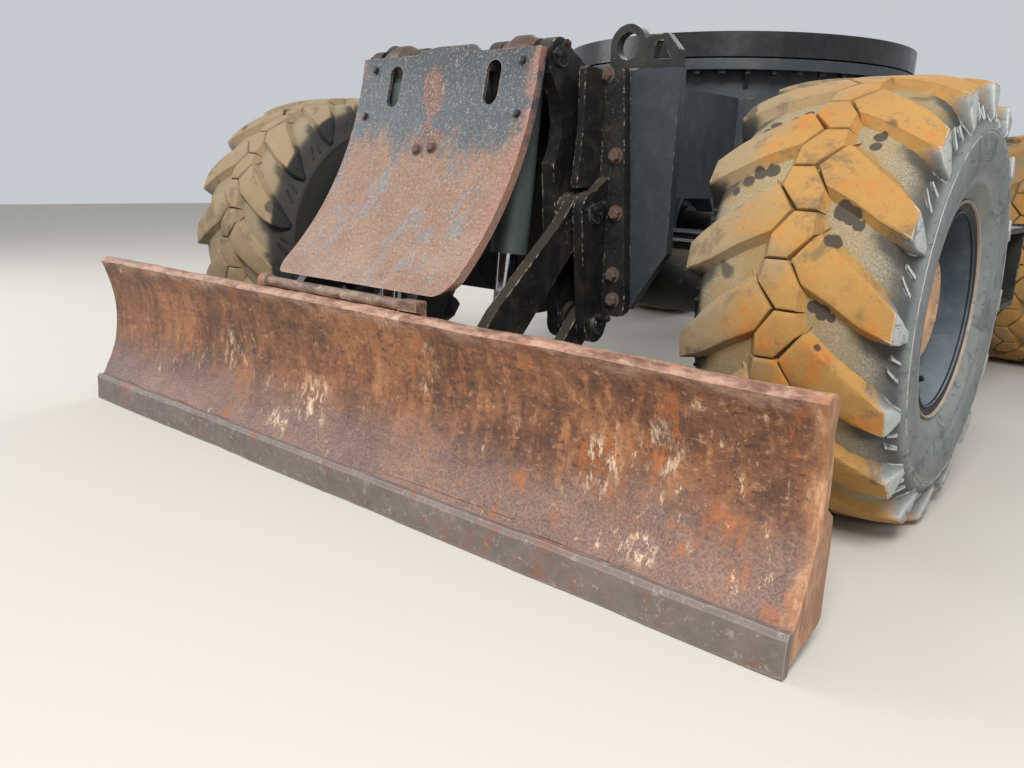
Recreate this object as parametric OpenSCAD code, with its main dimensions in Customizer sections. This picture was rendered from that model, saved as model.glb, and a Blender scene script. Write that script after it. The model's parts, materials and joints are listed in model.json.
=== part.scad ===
// Undercarriage of a wheeled excavator, with a front dozer blade on parallel arms.
// Millimetres. X runs across the machine, the blade faces -Y, Z is up from the floor.
// Lengths along the machine are written from the cutting edge backwards and shifted by stand().

/* [Overall] */
// Width over the tyres and over the blade
overall_w = 2550; // [2450:10:2750]
// Distance from the cutting edge back to the front axle
front_axle_y = 940; // [930:5:1000]
// Distance between the axles
wheelbase = 2600; // [2550:10:2900]

/* [Tyres and wheels] */
// Outer radius of a tyre over its lugs
tyre_r = 546; // [536:1:552]
// Width of a tyre at its widest point
tyre_w = 490; // [480:1:496]
// Height of the tread lugs above the carcass
lug_h = 24; // [18:1:28]
// Number of lugs on each side of a tyre
lug_n = 16; // [14:1:18]
// Radius of the bead seat that carries the tyre
bead_r = 247; // [244:1:252]
// Radius of the rim's flange
rim_flange_r = 264; // [260:1:270]
// Wall of the rim barrel
rim_wall = 12; // [8:1:16]
// Width of the rim over its flanges
rim_w = 416; // [406:1:420]
// Place of the wheel disc outward from the middle of the tyre
disc_out = 80; // [70:1:90]
// Thickness of the wheel disc
disc_t = 16; // [10:1:20]
// Radius of the planetary hub cover
hub_r = 138; // [132:1:150]
// Place of the hub cover's face outward from the middle of the tyre
hub_out = 158; // [150:1:165]
// Radius of the spindle that carries a hub
spindle_r = 60; // [50:1:70]

/* [Front axle] */
// Distance of the kingpins inward from the middle of their tyre
kingpin_in = 230; // [224:1:236]
// Radius of the kingpins
kingpin_r = 32; // [25:1:40]
// Radius of the axle tubes
axle_tube_r = 88; // [80:1:100]
// Radius of the differential housing
diff_r = 160; // [140:1:170]
// Radius of the pivot pins on which the axle oscillates
trunnion_r = 55; // [45:1:65]
// Height of the axle's end block
axle_end_h = 190; // [170:1:200]
// Thickness of the knuckle's upper and lower forks
fork_t = 38; // [30:1:45]
// Reach of the steering arm behind the kingpin
steer_arm_l = 165; // [150:1:180]
// Radius of the steering bar
steer_bar_r = 20; // [15:1:25]
// Outer radius of the steering cylinder
steer_cyl_r = 38; // [32:1:40]

/* [Blade] */
// Height of the blade's top edge
blade_top = 506; // [480:1:540]
// Clearance of the cutting edge over the floor
edge_gap = 3; // [1:1:8]
// Height of the cutting edge's upper rim
edge_top = 90; // [70:1:110]
// Thickness of the cutting edge
edge_t = 25; // [18:1:30]
// Thickness of the mouldboard plate
mould_t = 24; // [18:1:30]
// Hollow of the mouldboard's curve
mould_sag = 60; // [40:1:75]
// Depth of the blade's lower box behind the cutting edge
box_back = 163; // [150:1:175]
// Height of the blade's lower box
box_top = 262; // [240:1:280]
// Radius of the rounded top rail
rail_r = 30; // [24:1:36]
// Radius of the rub bar on the top rail
rub_r = 15; // [12:1:20]

/* [Blade linkage] */
// Place of the upper arms' rear pin, from the cutting edge
arm_pin_y = 585; // [580:1:590]
// Height of the upper arms' rear pin
arm_pin_z = 739; // [730:1:745]
// Place of the lower arms' rear pin, from the cutting edge
low_pin_y = 622; // [616:1:626]
// Height of the lower arms' rear pin
low_pin_z = 438; // [432:1:444]
// Reach of the arms forward from their rear pins
arm_run = 395; // [385:1:400]
// Drop of the arms from their rear pins
arm_drop = 356; // [350:1:360]
// Inner face of the arms from the middle of the machine
arm_in = 363; // [361:1:366]
// Thickness of the arms
arm_t = 32; // [26:1:34]
// Radius of the arms' pins
arm_pin_r = 26; // [22:1:28]
// Side gap between an arm and the plates beside it
side_gap = 5; // [5:1:7]
// Thickness of the bracket's inner cheek plates
cheek_t = 40; // [34:1:45]
// Outer face of the bracket's inner cheek plates
cheek_x = 340; // [338:1:344]
// Thickness of the outer ears of bracket and blade
ear_t = 30; // [24:1:34]
// Thickness of the blade's inner lugs
lug_t = 16; // [12:1:18]

/* [Lift cylinders] */
// Place of the lift cylinders' upper pin, from the cutting edge
cyl_pin_y = 526; // [522:1:530]
// Height of the lift cylinders' upper pin
cyl_pin_z = 1128; // [1120:1:1135]
// Distance of the lift cylinders from the middle of the machine
cyl_x = 228; // [224:1:230]
// Share of the lower arm at which the rod's eye sits
eye_share = 0.45; // [0.44:0.01:0.46]
// Outer radius of the barrel
barrel_r = 52; // [48:1:52]
// Radius of the rod
rod_r = 30; // [25:1:35]
// Length of the barrel from its pin to its gland
barrel_l = 508; // [490:1:520]
// Width of the barrel's eye
cyl_eye_w = 104; // [96:1:106]
// Outer radius of the cylinder eyes
cyl_eye_r = 47; // [42:1:49]
// Radius of the cylinder pins
cyl_pin_r = 25; // [20:1:28]

/* [Guard plate] */
// Half width of the guard plate
guard_hw = 333; // [325:1:337]
// Thickness of the guard plate
guard_t = 10; // [8:1:10]
// Depth of the guard plate's folded side rims
guard_rim = 25; // [18:1:25]
// Radius of the guard plate's curve
guard_r = 914; // [910:1:916]
// Height of the guard plate's top edge
guard_top = 1146; // [1142:1:1150]
// Height of the tab in the middle of the guard plate's top edge
guard_tab = 18; // [10:1:24]
// Height of the guard plate's low edge
guard_low = 544; // [542:1:550]

/* [Chassis] */
// Front face of the bracket's flange, from the cutting edge
flange_y = 645; // [640:1:650]
// Thickness of the bracket's flange
flange_t = 30; // [24:1:32]
// Half width of the bracket's flange at its foot
flange_hw = 504; // [500:1:508]
// Half width of the bracket's flange at its top
flange_top_hw = 457; // [452:1:462]
// Half width of the chassis front plate
front_hw = 604; // [590:1:606]
// Thickness of the chassis front plate
front_t = 30; // [20:1:35]
// Height of the chassis front plate's top edge
front_top = 1107; // [1100:1:1115]
// Half width of the chassis nose box
nose_hw = 300; // [280:1:320]
// Height of the chassis underside over the axles
frame_low = 770; // [765:1:790]
// Height of the chassis top plate
frame_top = 1120; // [1110:1:1125]
// Half width of the chassis main box
main_hw = 470; // [440:1:500]
// Radius of the turret drum
drum_r = 620; // [600:1:640]
// Length of the chassis behind the rear axle
tail_l = 440; // [420:1:480]

/* [Slewing ring] */
// Height of the drum's flange underside
ring_z = 1212; // [1200:1:1220]
// Outer radius of the slewing ring
ring_r = 700; // [690:1:710]
// Radial width of the turning outer ring
race_w = 58; // [54:1:62]
// Number of teeth inside the fixed ring
gear_n = 96; // [90:2:98]
// Module of the teeth inside the fixed ring
gear_m = 12; // [11.6:0.1:12.2]
// Thickness of the drum's flange
drum_flange_t = 36; // [30:1:40]
// Height of the turning outer ring
ring_h = 82; // [70:1:90]
// Distance of the turning ring's bolt circle inward from its rim
bolt_in = 28; // [26:1:30]
// Number of bolt holes in the turning ring
bolt_n = 36; // [24:2:48]
// Radius of the bolt holes
bolt_hole_r = 11; // [8:0.5:12]

/* [Hidden] */
$fn = 64;

// Radial running clearance of a pin in its bore
fit = 0.1;
// Gap between curved faces that move past each other
skin = 0.3;
// Small overlap that makes a cut go right through
cut = 1;

overall_l = front_axle_y + wheelbase + tyre_r;
rear_axle_y = front_axle_y + wheelbase;
wheel_x = (overall_w - tyre_w) / 2;
kingpin_x = wheel_x - kingpin_in;
axle_z = tyre_r;
slew_y = front_axle_y + wheelbase / 2 - 30;

steel_black = "#1d1f21";
steel_grey = "#5d686e";
rust = "#7d4a35";
rubber = "#3c3b39";
rim_blue = "#5f6b74";
chrome = "#c9ccd0";

// Shifts a piece from lengths measured off the cutting edge to the middle of the machine
module stand() {
    translate([0, -overall_l / 2, 0]) children();
}

// Extrudes a (y, z) outline along X from x0 over the length h
module along_x(x0, h) {
    translate([x0, 0, 0]) rotate([90, 0, 90]) linear_extrude(h) children();
}

// Extrudes an (x, z) outline along Y from y0 over the length h
module along_y(y0, h) {
    translate([0, y0 + h, 0]) rotate([90, 0, 0]) linear_extrude(h) children();
}

// Extrudes an (x, y) outline upward from z0 over the height h
module along_z(z0, h) {
    translate([0, 0, z0]) linear_extrude(h) children();
}

// Round bar or hole along X, centred at x
module bar_x(r, l, x = 0, y = 0, z = 0) {
    translate([x, y, z]) rotate([0, 90, 0]) cylinder(r = r, h = l, center = true);
}

// Round bar or hole along Y from y0 to y1
module bar_y(r, y0, y1, x = 0, z = 0) {
    translate([x, y0, z]) rotate([-90, 0, 0]) cylinder(r = r, h = y1 - y0);
}

// Copies a right-hand piece to the left as well
module both_sides() {
    children();
    mirror([1, 0, 0]) children();
}

// Right-hand piece placed on side s, 1 for right and -1 for left
module on_side(s) {
    if (s > 0) children();
    else mirror([1, 0, 0]) children();
}

// Turns a (radius, across) section about X, centred on the wheel's middle plane
module revolve_x() {
    rotate([0, 90, 0]) rotate_extrude($fn = 96) children();
}

// Tyre section in (radius, across), from the bead over the wall to the tread
carcass_r = tyre_r - lug_h;
tread_hw = tyre_w / 2 - 18;
bead_hw = rim_w / 2 - rim_wall;
belly_r = (bead_r + carcass_r) / 2;
tyre_side = [
    [bead_r, bead_hw], [rim_flange_r + 4, bead_hw], [belly_r, tyre_w / 2],
    [belly_r + 85, tyre_w / 2 - 4], [tyre_r - 20, tread_hw], [tyre_r - 3, tread_hw - 70], [tyre_r, 60]
];

// The same section for the tyre's other side, in reverse order
function other_side(half) = [for (i = [len(half) - 1 : -1 : 0]) [half[i][0], -half[i][1]]];

// Room above the carcass that the grooves are cut from, in (radius, across)
groove_side = [[carcass_r, tread_hw - 28], [belly_r + 50, tyre_w / 2 + 1], [belly_r + 50, tyre_w], [tyre_w + tyre_r, tyre_w]];

// Outline of the groove between two lugs as [across, degrees round the tyre]
groove_line = [[50, 10.9], [260, -1], [260, -16.5], [62, 0.1], [46, 5.5]];
groove_turn = 91.8;

module groove() {
    along_z(belly_r, tyre_r + lug_h - belly_r) polygon([for (p = groove_line) [p[0], tyre_r * sin(p[1])]]);
}

// Tyre with a zigzag middle rib and lugs that run outward and down on its front
module tyre() {
    color(rubber) difference() {
        rotate([0, 90, 0]) rotate_extrude($fn = 48) polygon(concat(tyre_side, other_side(tyre_side)));
        intersection() {
            rotate([0, 90, 0]) rotate_extrude($fn = 48) polygon(concat(groove_side, other_side(groove_side)));
            for (i = [0 : lug_n - 1]) {
                rotate([groove_turn - i * 360 / lug_n, 0, 0]) groove();
                rotate([groove_turn - (i + 0.5) * 360 / lug_n, 0, 0]) mirror([1, 0, 0]) groove();
            }
        }
    }
}

// Rim with its deep barrel, flanges and disc, outer side towards +X
module rim() {
    color(rim_blue) difference() {
        revolve_x() polygon([
            [bead_r - rim_wall, -rim_w / 2], [rim_flange_r, -rim_w / 2], [rim_flange_r, -bead_hw],
            [bead_r, -bead_hw], [bead_r, bead_hw], [rim_flange_r, bead_hw], [rim_flange_r, rim_w / 2],
            [bead_r - rim_wall, rim_w / 2],
            [bead_r - rim_wall, disc_out + disc_t], [hub_r + 1, disc_out + disc_t],
            [hub_r + 1, disc_out], [bead_r - rim_wall, disc_out]
        ]);
        for (i = [0 : 7])
            rotate([i * 45 + 22.5, 0, 0]) bar_x(18, 4 * disc_t, disc_out, 0, (hub_r + bead_r) / 2);
    }
}

// Planetary hub that carries the wheel disc and turns on the spindle
module hub() {
    color(rust) difference() {
        revolve_x() polygon([
            [0, -66], [118, -66], [118, disc_out - 24], [hub_r + 26, disc_out - 24],
            [hub_r + 26, disc_out], [hub_r + 1, disc_out], [hub_r + 1, disc_out + disc_t],
            [hub_r, disc_out + disc_t], [hub_r, hub_out - 12], [hub_r - 12, hub_out],
            [60, hub_out], [54, hub_out - 10], [0, hub_out - 10]
        ]);
        bar_x(spindle_r + fit, 66 + disc_out, (disc_out - 66) / 2);
        for (i = [0 : 7])
            rotate([i * 45, 0, 0]) bar_x(9, 24, hub_out, 0, hub_r - 28);
    }
}

module at_wheel(s, y) {
    stand() translate([s * wheel_x, y, axle_z]) on_side(s) children();
}

// Front axle

pivot_gap = 8;
yoke_front_y = flange_y + flange_t + front_t;
yoke_back_y = front_axle_y + (front_axle_y - yoke_front_y);
end_w = 96;
fork_gap = 3;
fork_z = axle_end_h / 2 + fork_gap;

diff_front = 130;

// Round differential housing, turned about Y, its bolted face towards the blade
module diff_housing() {
    rotate([-90, 0, 0]) rotate_extrude() polygon([
        [0, -diff_front], [100, -diff_front], [diff_r, -70], [diff_r, 60], [110, 115], [0, 115]
    ]);
}

module front_axle() {
    color(steel_black) stand() translate([0, front_axle_y, axle_z]) difference() {
        union() {
            diff_housing();
            bar_x(axle_tube_r, 2 * (kingpin_x - 60));
            both_sides() translate([kingpin_x - 120, 0, 0]) rotate([0, 90, 0])
                cylinder(r1 = axle_tube_r, r2 = axle_end_h / 2, h = 60);
            both_sides() translate([kingpin_x - end_w / 2 - 14, -52, -axle_end_h / 2])
                cube([end_w / 2 + 14, 104, axle_end_h]);
            both_sides() translate([kingpin_x, 0, -axle_end_h / 2]) cylinder(r = 52, h = axle_end_h);
            bar_y(trunnion_r, yoke_front_y - front_axle_y - front_t + 2, yoke_back_y - front_axle_y + front_t + 2);
            bar_y(trunnion_r + 22, yoke_front_y - front_axle_y + pivot_gap, yoke_back_y - front_axle_y - pivot_gap);
        }
        both_sides() translate([kingpin_x, 0, 0])
            cylinder(r = kingpin_r + fit, h = axle_end_h + 2 * cut, center = true);
    }
}

steer_y = front_axle_y + steer_arm_l;
steer_z = axle_z + 118;
steer_eye_r = 28;
steer_arm_x = kingpin_x - 30;
steer_cyl_l = 420;
steer_arm_z = steer_z + 20 + side_gap - axle_z;
steer_arm_t = 28;
spindle_end = wheel_x + disc_out - 12 - kingpin_x;

// Double-ended steering cylinder with the feet that bolt it to the axle
module steer_cylinder() {
    color(steel_black) stand() difference() {
        union() {
            bar_x(steer_cyl_r, steer_cyl_l, 0, steer_y, steer_z);
            both_sides() translate([230, front_axle_y + 20, axle_z + 60])
                cube([40, steer_arm_l - 20, steer_z - axle_z - 60 + 24]);
            both_sides() bar_x(steer_cyl_r - 8, 60, steer_cyl_l / 2 + 28, steer_y, steer_z);
        }
        bar_x(steer_bar_r + fit, 3 * steer_cyl_l, 0, steer_y, steer_z);
        bar_x(axle_tube_r + skin, 3 * steer_cyl_l, 0, front_axle_y, axle_z);
    }
}

// Bar through the steering cylinder, with an eye under each steering arm
module steer_bar() {
    color(chrome) stand() {
        bar_x(steer_bar_r, 2 * (steer_arm_x - 10), 0, steer_y, steer_z);
        both_sides() translate([steer_arm_x, steer_y, steer_z - 20])
            cylinder(r = steer_eye_r, h = 40);
    }
}

// Steering knuckle with its forks, kingpin, spindle and steering arm, right-hand side
module knuckle() {
    color(steel_black) {
        for (z = [fork_z, -fork_z - fork_t])
            translate([0, 0, z]) {
                cylinder(r = 58, h = fork_t);
                translate([0, -58, 0]) cube([84, 116, fork_t]);
            }
        translate([66, -58, -fork_z - fork_t]) cube([38, 116, 2 * (fork_z + fork_t)]);
        translate([0, 0, fork_z]) cylinder(r = 54, h = steer_arm_z + steer_arm_t - fork_z);
        bar_x(150, 30, 119);
        bar_x(spindle_r, spindle_end - 100, (spindle_end + 100) / 2);
        steer_arm();
        cylinder(r = kingpin_r, h = 2 * (fork_z + fork_t), center = true);
    }
}

// Plate that reaches back from the upper fork over the steering bar's eye
module steer_arm() {
    along_z(steer_arm_z, steer_arm_t) {
        translate([-30, steer_arm_l]) circle(r = 34);
        polygon([[-64, steer_arm_l], [-50, 0], [50, 0], [4, steer_arm_l]]);
    }
}

module at_knuckle(s) {
    stand() translate([s * kingpin_x, front_axle_y, axle_z]) on_side(s) children();
}

// Rear axle, bolted rigidly under the frame
pad_x = 360;
module rear_axle() {
    color(steel_black) stand() translate([0, rear_axle_y, axle_z]) {
        diff_housing();
        bar_x(axle_tube_r, 2 * (wheel_x - 150));
        both_sides() {
            bar_x(118, 40, wheel_x - 150);
            bar_x(150, 30, wheel_x - 115);
            bar_x(spindle_r, 150 + disc_out, wheel_x - 150 + (138 + disc_out) / 2);
            translate([pad_x - 60, -80, 0]) cube([120, 160, frame_low - axle_z]);
        }
    }
}

gear_y0 = rear_axle_y - 460;
gear_y1 = rear_axle_y - diff_front;
module travel_gearbox() {
    color(steel_grey) stand() {
        translate([-150, gear_y0, axle_z - 130]) cube([300, gear_y1 - gear_y0, 330]);
        bar_y(80, gear_y0 - 40, gear_y0, 0, axle_z);
    }
}

// Prop shaft from the gearbox to the front axle's pivot, on the axle's swing line
shaft_y0 = yoke_back_y + front_t + 2 + skin;
shaft_y1 = gear_y0 - 40 - skin;
module prop_shaft() {
    color(steel_black) stand() {
        bar_y(42, shaft_y0 + 40, shaft_y1 - 40, 0, axle_z);
        bar_y(70, shaft_y0, shaft_y0 + 22, 0, axle_z);
        bar_y(70, shaft_y1 - 22, shaft_y1, 0, axle_z);
        for (y = [shaft_y0 + 22, shaft_y1 - 70])
            translate([-30, y, axle_z - 48]) cube([60, 48, 96]);
    }
}

// Chassis

front_low = 480;
front_chamfer_x = 498;
front_chamfer_z = 641;

module front_plate() {
    color(steel_grey) stand() difference() {
        along_y(flange_y + flange_t, front_t) polygon([
            [-front_chamfer_x, front_low], [front_chamfer_x, front_low], [front_hw, front_chamfer_z],
            [front_hw, front_top], [-front_hw, front_top], [-front_hw, front_chamfer_z]
        ]);
        bar_y(trunnion_r + fit, flange_y, flange_y + 300, 0, axle_z);
    }
}

module axle_yoke() {
    color(steel_grey) stand() difference() {
        along_y(yoke_back_y, front_t) polygon([
            [-150, axle_z - 110], [150, axle_z - 110], [nose_hw - 4, frame_low], [4 - nose_hw, frame_low]
        ]);
        bar_y(trunnion_r + fit, yoke_back_y - cut, yoke_back_y + front_t + cut, 0, axle_z);
    }
}

rear_end_y = rear_axle_y + tail_l;
rear_end_t = 30;
rear_low = frame_low - 210;
neck_y = slew_y - 560;
neck_l = 170;
drum_low = 1045;
drum_bore_r = drum_r - 60;
rear_hole_r = 14;
module chassis_frame() {
    color(steel_grey) stand() difference() {
        union() {
            along_z(frame_low, frame_top - frame_low) polygon([
                [-nose_hw, yoke_front_y], [nose_hw, yoke_front_y], [nose_hw, neck_y],
                [main_hw, neck_y + neck_l], [main_hw, rear_end_y], [-main_hw, rear_end_y],
                [-main_hw, neck_y + neck_l], [-nose_hw, neck_y]
            ]);
            translate([0, slew_y, drum_low]) cylinder(r = drum_r, h = ring_z - drum_low);
            along_y(rear_end_y - cut, rear_end_t + cut) polygon([
                [-main_hw + 60, rear_low], [main_hw - 60, rear_low], [main_hw + 20, rear_low + 80],
                [main_hw + 20, frame_top], [-main_hw - 20, frame_top], [-main_hw - 20, rear_low + 80]
            ]);
            // knees that hold the rear plate to the box above it
            for (x = [-main_hw + 20, -12, main_hw - 44]) along_x(x, 24) polygon([
                [rear_end_y - 150, frame_low + cut], [rear_end_y, frame_low + cut], [rear_end_y, rear_low + 30]
            ]);
            // gussets under the drum's flange
            for (a = [20 : 40 : 340]) translate([0, slew_y, 0]) rotate(a) rotate([90, 0, 0])
                translate([0, 0, -8]) linear_extrude(16) polygon([
                    [drum_r - 10, ring_z + cut], [ring_r - 14, ring_z + cut], [drum_r - 10, ring_z - 70]
                ]);
            translate([0, slew_y, ring_z]) cylinder(r = ring_r, h = drum_flange_t);
        }
        translate([0, slew_y, frame_top + 20]) cylinder(r = drum_bore_r, h = 400);
        for (s = [-1, 1]) for (z = [640, 1040])
            bar_y(rear_hole_r, rear_end_y - 2 * cut, rear_end_y + rear_end_t + cut, s * (main_hw - 40), z);
    }
}

// Bolted bracket that carries the arms, the cylinders and the guard plate
ear_x = arm_in + arm_t + side_gap;
boss_r = 50;
ear_r = 57;
cyl_ear_x = cyl_x - cyl_eye_w / 2 - side_gap - cheek_t;
flange_low = 462;
web_t = 20;
web_low = arm_pin_z + 66;

module blade_bracket() {
    color(steel_black) stand() difference() {
        union() {
            // flange strips outside the outer ears, with the bolt rows
            both_sides() along_y(flange_y, flange_t) polygon([
                [ear_x + ear_t - 2, flange_low], [flange_hw - 20, flange_low], [flange_hw - 4, flange_low + 12],
                [flange_hw, flange_low + 40], [flange_top_hw, front_top], [ear_x + ear_t - 2, front_top]
            ]);
            // middle panel between the inner cheeks, and the full panel above the arms
            along_y(flange_y, flange_t) translate([-cheek_x, front_low + 150])
                square([2 * cheek_x, front_top - front_low - 150]);
            along_y(flange_y, flange_t) translate([-ear_x - ear_t, web_low])
                square([2 * (ear_x + ear_t), front_top - web_low]);
            both_sides() along_x(cheek_x - cheek_t, cheek_t) inner_cheek();
            both_sides() along_x(ear_x, ear_t) outer_ear();
            both_sides() along_x(cyl_ear_x, cheek_t) cylinder_ear();
            // webs that stand over the arms, against the outer ears
            both_sides() along_x(ear_x + 2 - web_t, web_t) web();
            // bosses that fill the space between the inner cheek and the arms
            both_sides() for (p = [[arm_pin_y, arm_pin_z], [low_pin_y, low_pin_z]])
                bar_x(boss_r, arm_in - side_gap - cheek_x + 10, (arm_in - side_gap + cheek_x - 10) / 2, p[0], p[1]);
        }
        both_sides() {
            bar_x(arm_pin_r + fit, 400, arm_in + arm_t / 2, arm_pin_y, arm_pin_z);
            bar_x(arm_pin_r + fit, 400, arm_in + arm_t / 2, low_pin_y, low_pin_z);
            bar_x(cyl_pin_r + fit, 300, cyl_x, cyl_pin_y, cyl_pin_z);
        }
    }
}

// Cheek with a deep hollow in its front edge between the cylinder's pin and the arm's pin
module inner_cheek() {
    union() {
        translate([cyl_pin_y, cyl_pin_z]) circle(r = cyl_eye_r);
        translate([arm_pin_y, arm_pin_z]) circle(r = ear_r);
        translate([low_pin_y, low_pin_z]) circle(r = 52);
        difference() {
            polygon([
                [cyl_pin_y - cyl_eye_r + 4, cyl_pin_z - 18], [arm_pin_y - ear_r + 2, arm_pin_z + 12],
                [arm_pin_y - ear_r + 2, arm_pin_z - 12], [low_pin_y - 51, low_pin_z + 8],
                [low_pin_y - 50, low_pin_z - 14], [flange_y + flange_t, low_pin_z - 14],
                [flange_y + flange_t, front_top], [cyl_pin_y + 76, cyl_pin_z + 10],
                [cyl_pin_y + 23, cyl_pin_z + 40]
            ]);
            translate([cyl_pin_y - 151, cyl_pin_z - 171]) circle(r = 170);
        }
    }
}

module outer_ear() {
    union() {
        translate([arm_pin_y, arm_pin_z]) circle(r = ear_r);
        translate([low_pin_y, low_pin_z]) circle(r = 52);
        polygon([
            [arm_pin_y - ear_r, arm_pin_z], [low_pin_y - 52, low_pin_z], [low_pin_y, low_pin_z - 50],
            [flange_y + flange_t, low_pin_z - 14], [flange_y + flange_t, arm_pin_z + 110],
            [arm_pin_y + 20, arm_pin_z + 70], [arm_pin_y, arm_pin_z + ear_r - 4]
        ]);
    }
}

module cylinder_ear() {
    union() {
        translate([cyl_pin_y, cyl_pin_z]) circle(r = cyl_eye_r);
        polygon([
            [cyl_pin_y - cyl_eye_r + 2, cyl_pin_z - 12], [cyl_pin_y - 10, cyl_pin_z - 180],
            [flange_y + flange_t, cyl_pin_z - 330], [flange_y + flange_t, front_top],
            [cyl_pin_y + 76, cyl_pin_z + 10], [cyl_pin_y + 23, cyl_pin_z + 40]
        ]);
    }
}

module web() {
    polygon([
        [arm_pin_y - 47, web_low], [arm_pin_y - 36, arm_pin_z + 160], [arm_pin_y - 29, arm_pin_z + 219],
        [arm_pin_y - 33, front_top - 8], [arm_pin_y - 25, front_top], [flange_y + flange_t, front_top],
        [flange_y + flange_t, web_low]
    ]);
}

module bracket_pins() {
    color(chrome) stand() both_sides() {
        for (p = [[arm_pin_y, arm_pin_z], [low_pin_y, low_pin_z]])
            translate([cheek_x - cheek_t, p[0], p[1]]) rotate([0, 90, 0])
                cylinder(r = arm_pin_r, h = ear_x + ear_t + 12 - cheek_x + cheek_t);
        translate([cyl_ear_x, cyl_pin_y, cyl_pin_z]) rotate([0, 90, 0])
            cylinder(r = cyl_pin_r, h = cheek_x + 10 - cyl_ear_x);
    }
}

// Guard plate: a hollow arc with folded side rims, wrapped round the cylinders

guard_c = [-453, 1263];
slot_x = 186;
slot_r = 25;
slot_z = [1031, 1095];
guard_corner_r = 40;

// Curved strip of the guard plate's arc from x0 to x1, t thick, the full height
module guard_strip(x0, x1, t) {
    intersection() {
        difference() {
            bar_x(guard_r + t, x1 - x0, (x0 + x1) / 2, guard_c[0], guard_c[1], $fn = 180);
            bar_x(guard_r, x1 - x0 + 2 * cut, (x0 + x1) / 2, guard_c[0], guard_c[1], $fn = 180);
        }
        along_x(x0 - cut, x1 - x0 + 2 * cut) translate([0, guard_low]) square([guard_r, guard_top + guard_tab - guard_low]);
    }
}

// Outline of the plate seen from the front, in (x, z), with its tab, slots and rounded corners
module guard_outline() {
    difference() {
        union() {
            translate([-guard_hw, guard_low + guard_corner_r])
                square([2 * guard_hw, guard_top - guard_low - guard_corner_r]);
            translate([guard_corner_r - guard_hw, guard_low]) square([2 * (guard_hw - guard_corner_r), 2 * guard_corner_r]);
            for (s = [-1, 1]) translate([s * (guard_hw - guard_corner_r), guard_low + guard_corner_r])
                circle(r = guard_corner_r);
            polygon([
                [-110, guard_top - cut], [-90, guard_top + 10], [-24, guard_top + guard_tab],
                [104, guard_top + guard_tab], [132, guard_top - cut]
            ]);
        }
        for (s = [-1, 1]) {
            for (z = slot_z) translate([s * slot_x, z]) circle(r = slot_r);
            translate([s * slot_x - slot_r, slot_z[0]]) square([2 * slot_r, slot_z[1] - slot_z[0]]);
        }
    }
}

module guard_plate() {
    color(rust) stand() {
        intersection() {
            union() {
                guard_strip(-guard_hw, guard_hw, guard_t);
                both_sides() guard_strip(guard_hw - guard_t, guard_hw, guard_rim);
            }
            along_y(0, 600) guard_outline();
        }
        // stand-off blocks that bolt the plate to the cylinder ears
        both_sides() for (x = [cyl_ear_x, cyl_x + cyl_eye_w / 2 + side_gap + 1]) along_x(x, 27) difference() {
            translate([guard_c[0] + guard_r - guard_t, 1097]) square([80, 34]);
            translate(guard_c) circle(r = guard_r + guard_t - 1, $fn = 180);
            inner_cheek();
            cylinder_ear();
        }
    }
}

// Lashing eyes on top of the front plate
module tie_down_eyes() {
    color(steel_black) stand() both_sides() difference() {
        along_y(flange_y + flange_t, front_t) union() {
            translate([445, 1165]) circle(r = 54);
            polygon([[392, front_top], [600, front_top], [596, 1150], [560, 1190], [520, 1190], [445, 1170], [392, 1165]]);
        }
        bar_y(34, flange_y, flange_y + 200, 445, 1165);
        along_y(flange_y, 200) polygon([[520, 1130], [572, 1130], [548, 1172], [530, 1172]]);
    }
}

// Slewing ring: toothed ring fixed on the drum, and the ring that turns round it

race_r = ring_r - race_w;
gear_root_r = gear_m * (gear_n / 2 + 1.25);
gear_tip_r = gear_m * (gear_n / 2 - 1);
gear_flank = 20;
tooth_tip_w = gear_m * (PI / 2 - 2 * tan(gear_flank));
tooth_root_w = gear_m * (PI / 2 + 2.5 * tan(gear_flank));

// Inner teeth, straight-flanked as an internal gear's nearly are
module slew_inner_ring() {
    color(steel_black) stand() translate([0, slew_y, ring_z + drum_flange_t]) linear_extrude(ring_h) union() {
        difference() {
            circle(r = race_r, $fn = 192);
            circle(r = gear_root_r, $fn = 192);
        }
        for (i = [0 : gear_n - 1]) rotate((i + 0.5) * 360 / gear_n) polygon([
            [gear_tip_r, -tooth_tip_w / 2], [gear_root_r, -tooth_root_w / 2], [gear_root_r + 4, -tooth_root_w / 2],
            [gear_root_r + 4, tooth_root_w / 2], [gear_root_r, tooth_root_w / 2], [gear_tip_r, tooth_tip_w / 2]
        ]);
    }
}

module slew_outer_ring() {
    color(steel_black) stand() translate([0, slew_y, ring_z + drum_flange_t + 6]) difference() {
        cylinder(r = ring_r, h = ring_h);
        translate([0, 0, -cut]) cylinder(r = race_r + skin, h = ring_h + 2 * cut);
        for (i = [0 : bolt_n - 1]) rotate(i * 360 / bolt_n) translate([ring_r - bolt_in, 0, -cut])
            cylinder(r = bolt_hole_r, h = ring_h + 2 * cut);
    }
}

module centre_swivel() {
    color(steel_grey) stand() translate([0, slew_y, frame_top + 20]) {
        cylinder(r = 95, h = 150);
        cylinder(r = 150, h = 24);
        cylinder(r = 70, h = 185);
    }
}

// Boxes and steps between the wheels

box_y0 = slew_y - 250;
box_l = 600;
box_w = 420;
box_low = frame_low - 170;
box_h = 440;
step_y0 = box_y0 + 50;
step_l = box_l - 160;
step_w = 250;
step_z = [box_low - 180, box_low + 100];
step_t = 20;
step_side_t = 10;

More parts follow.
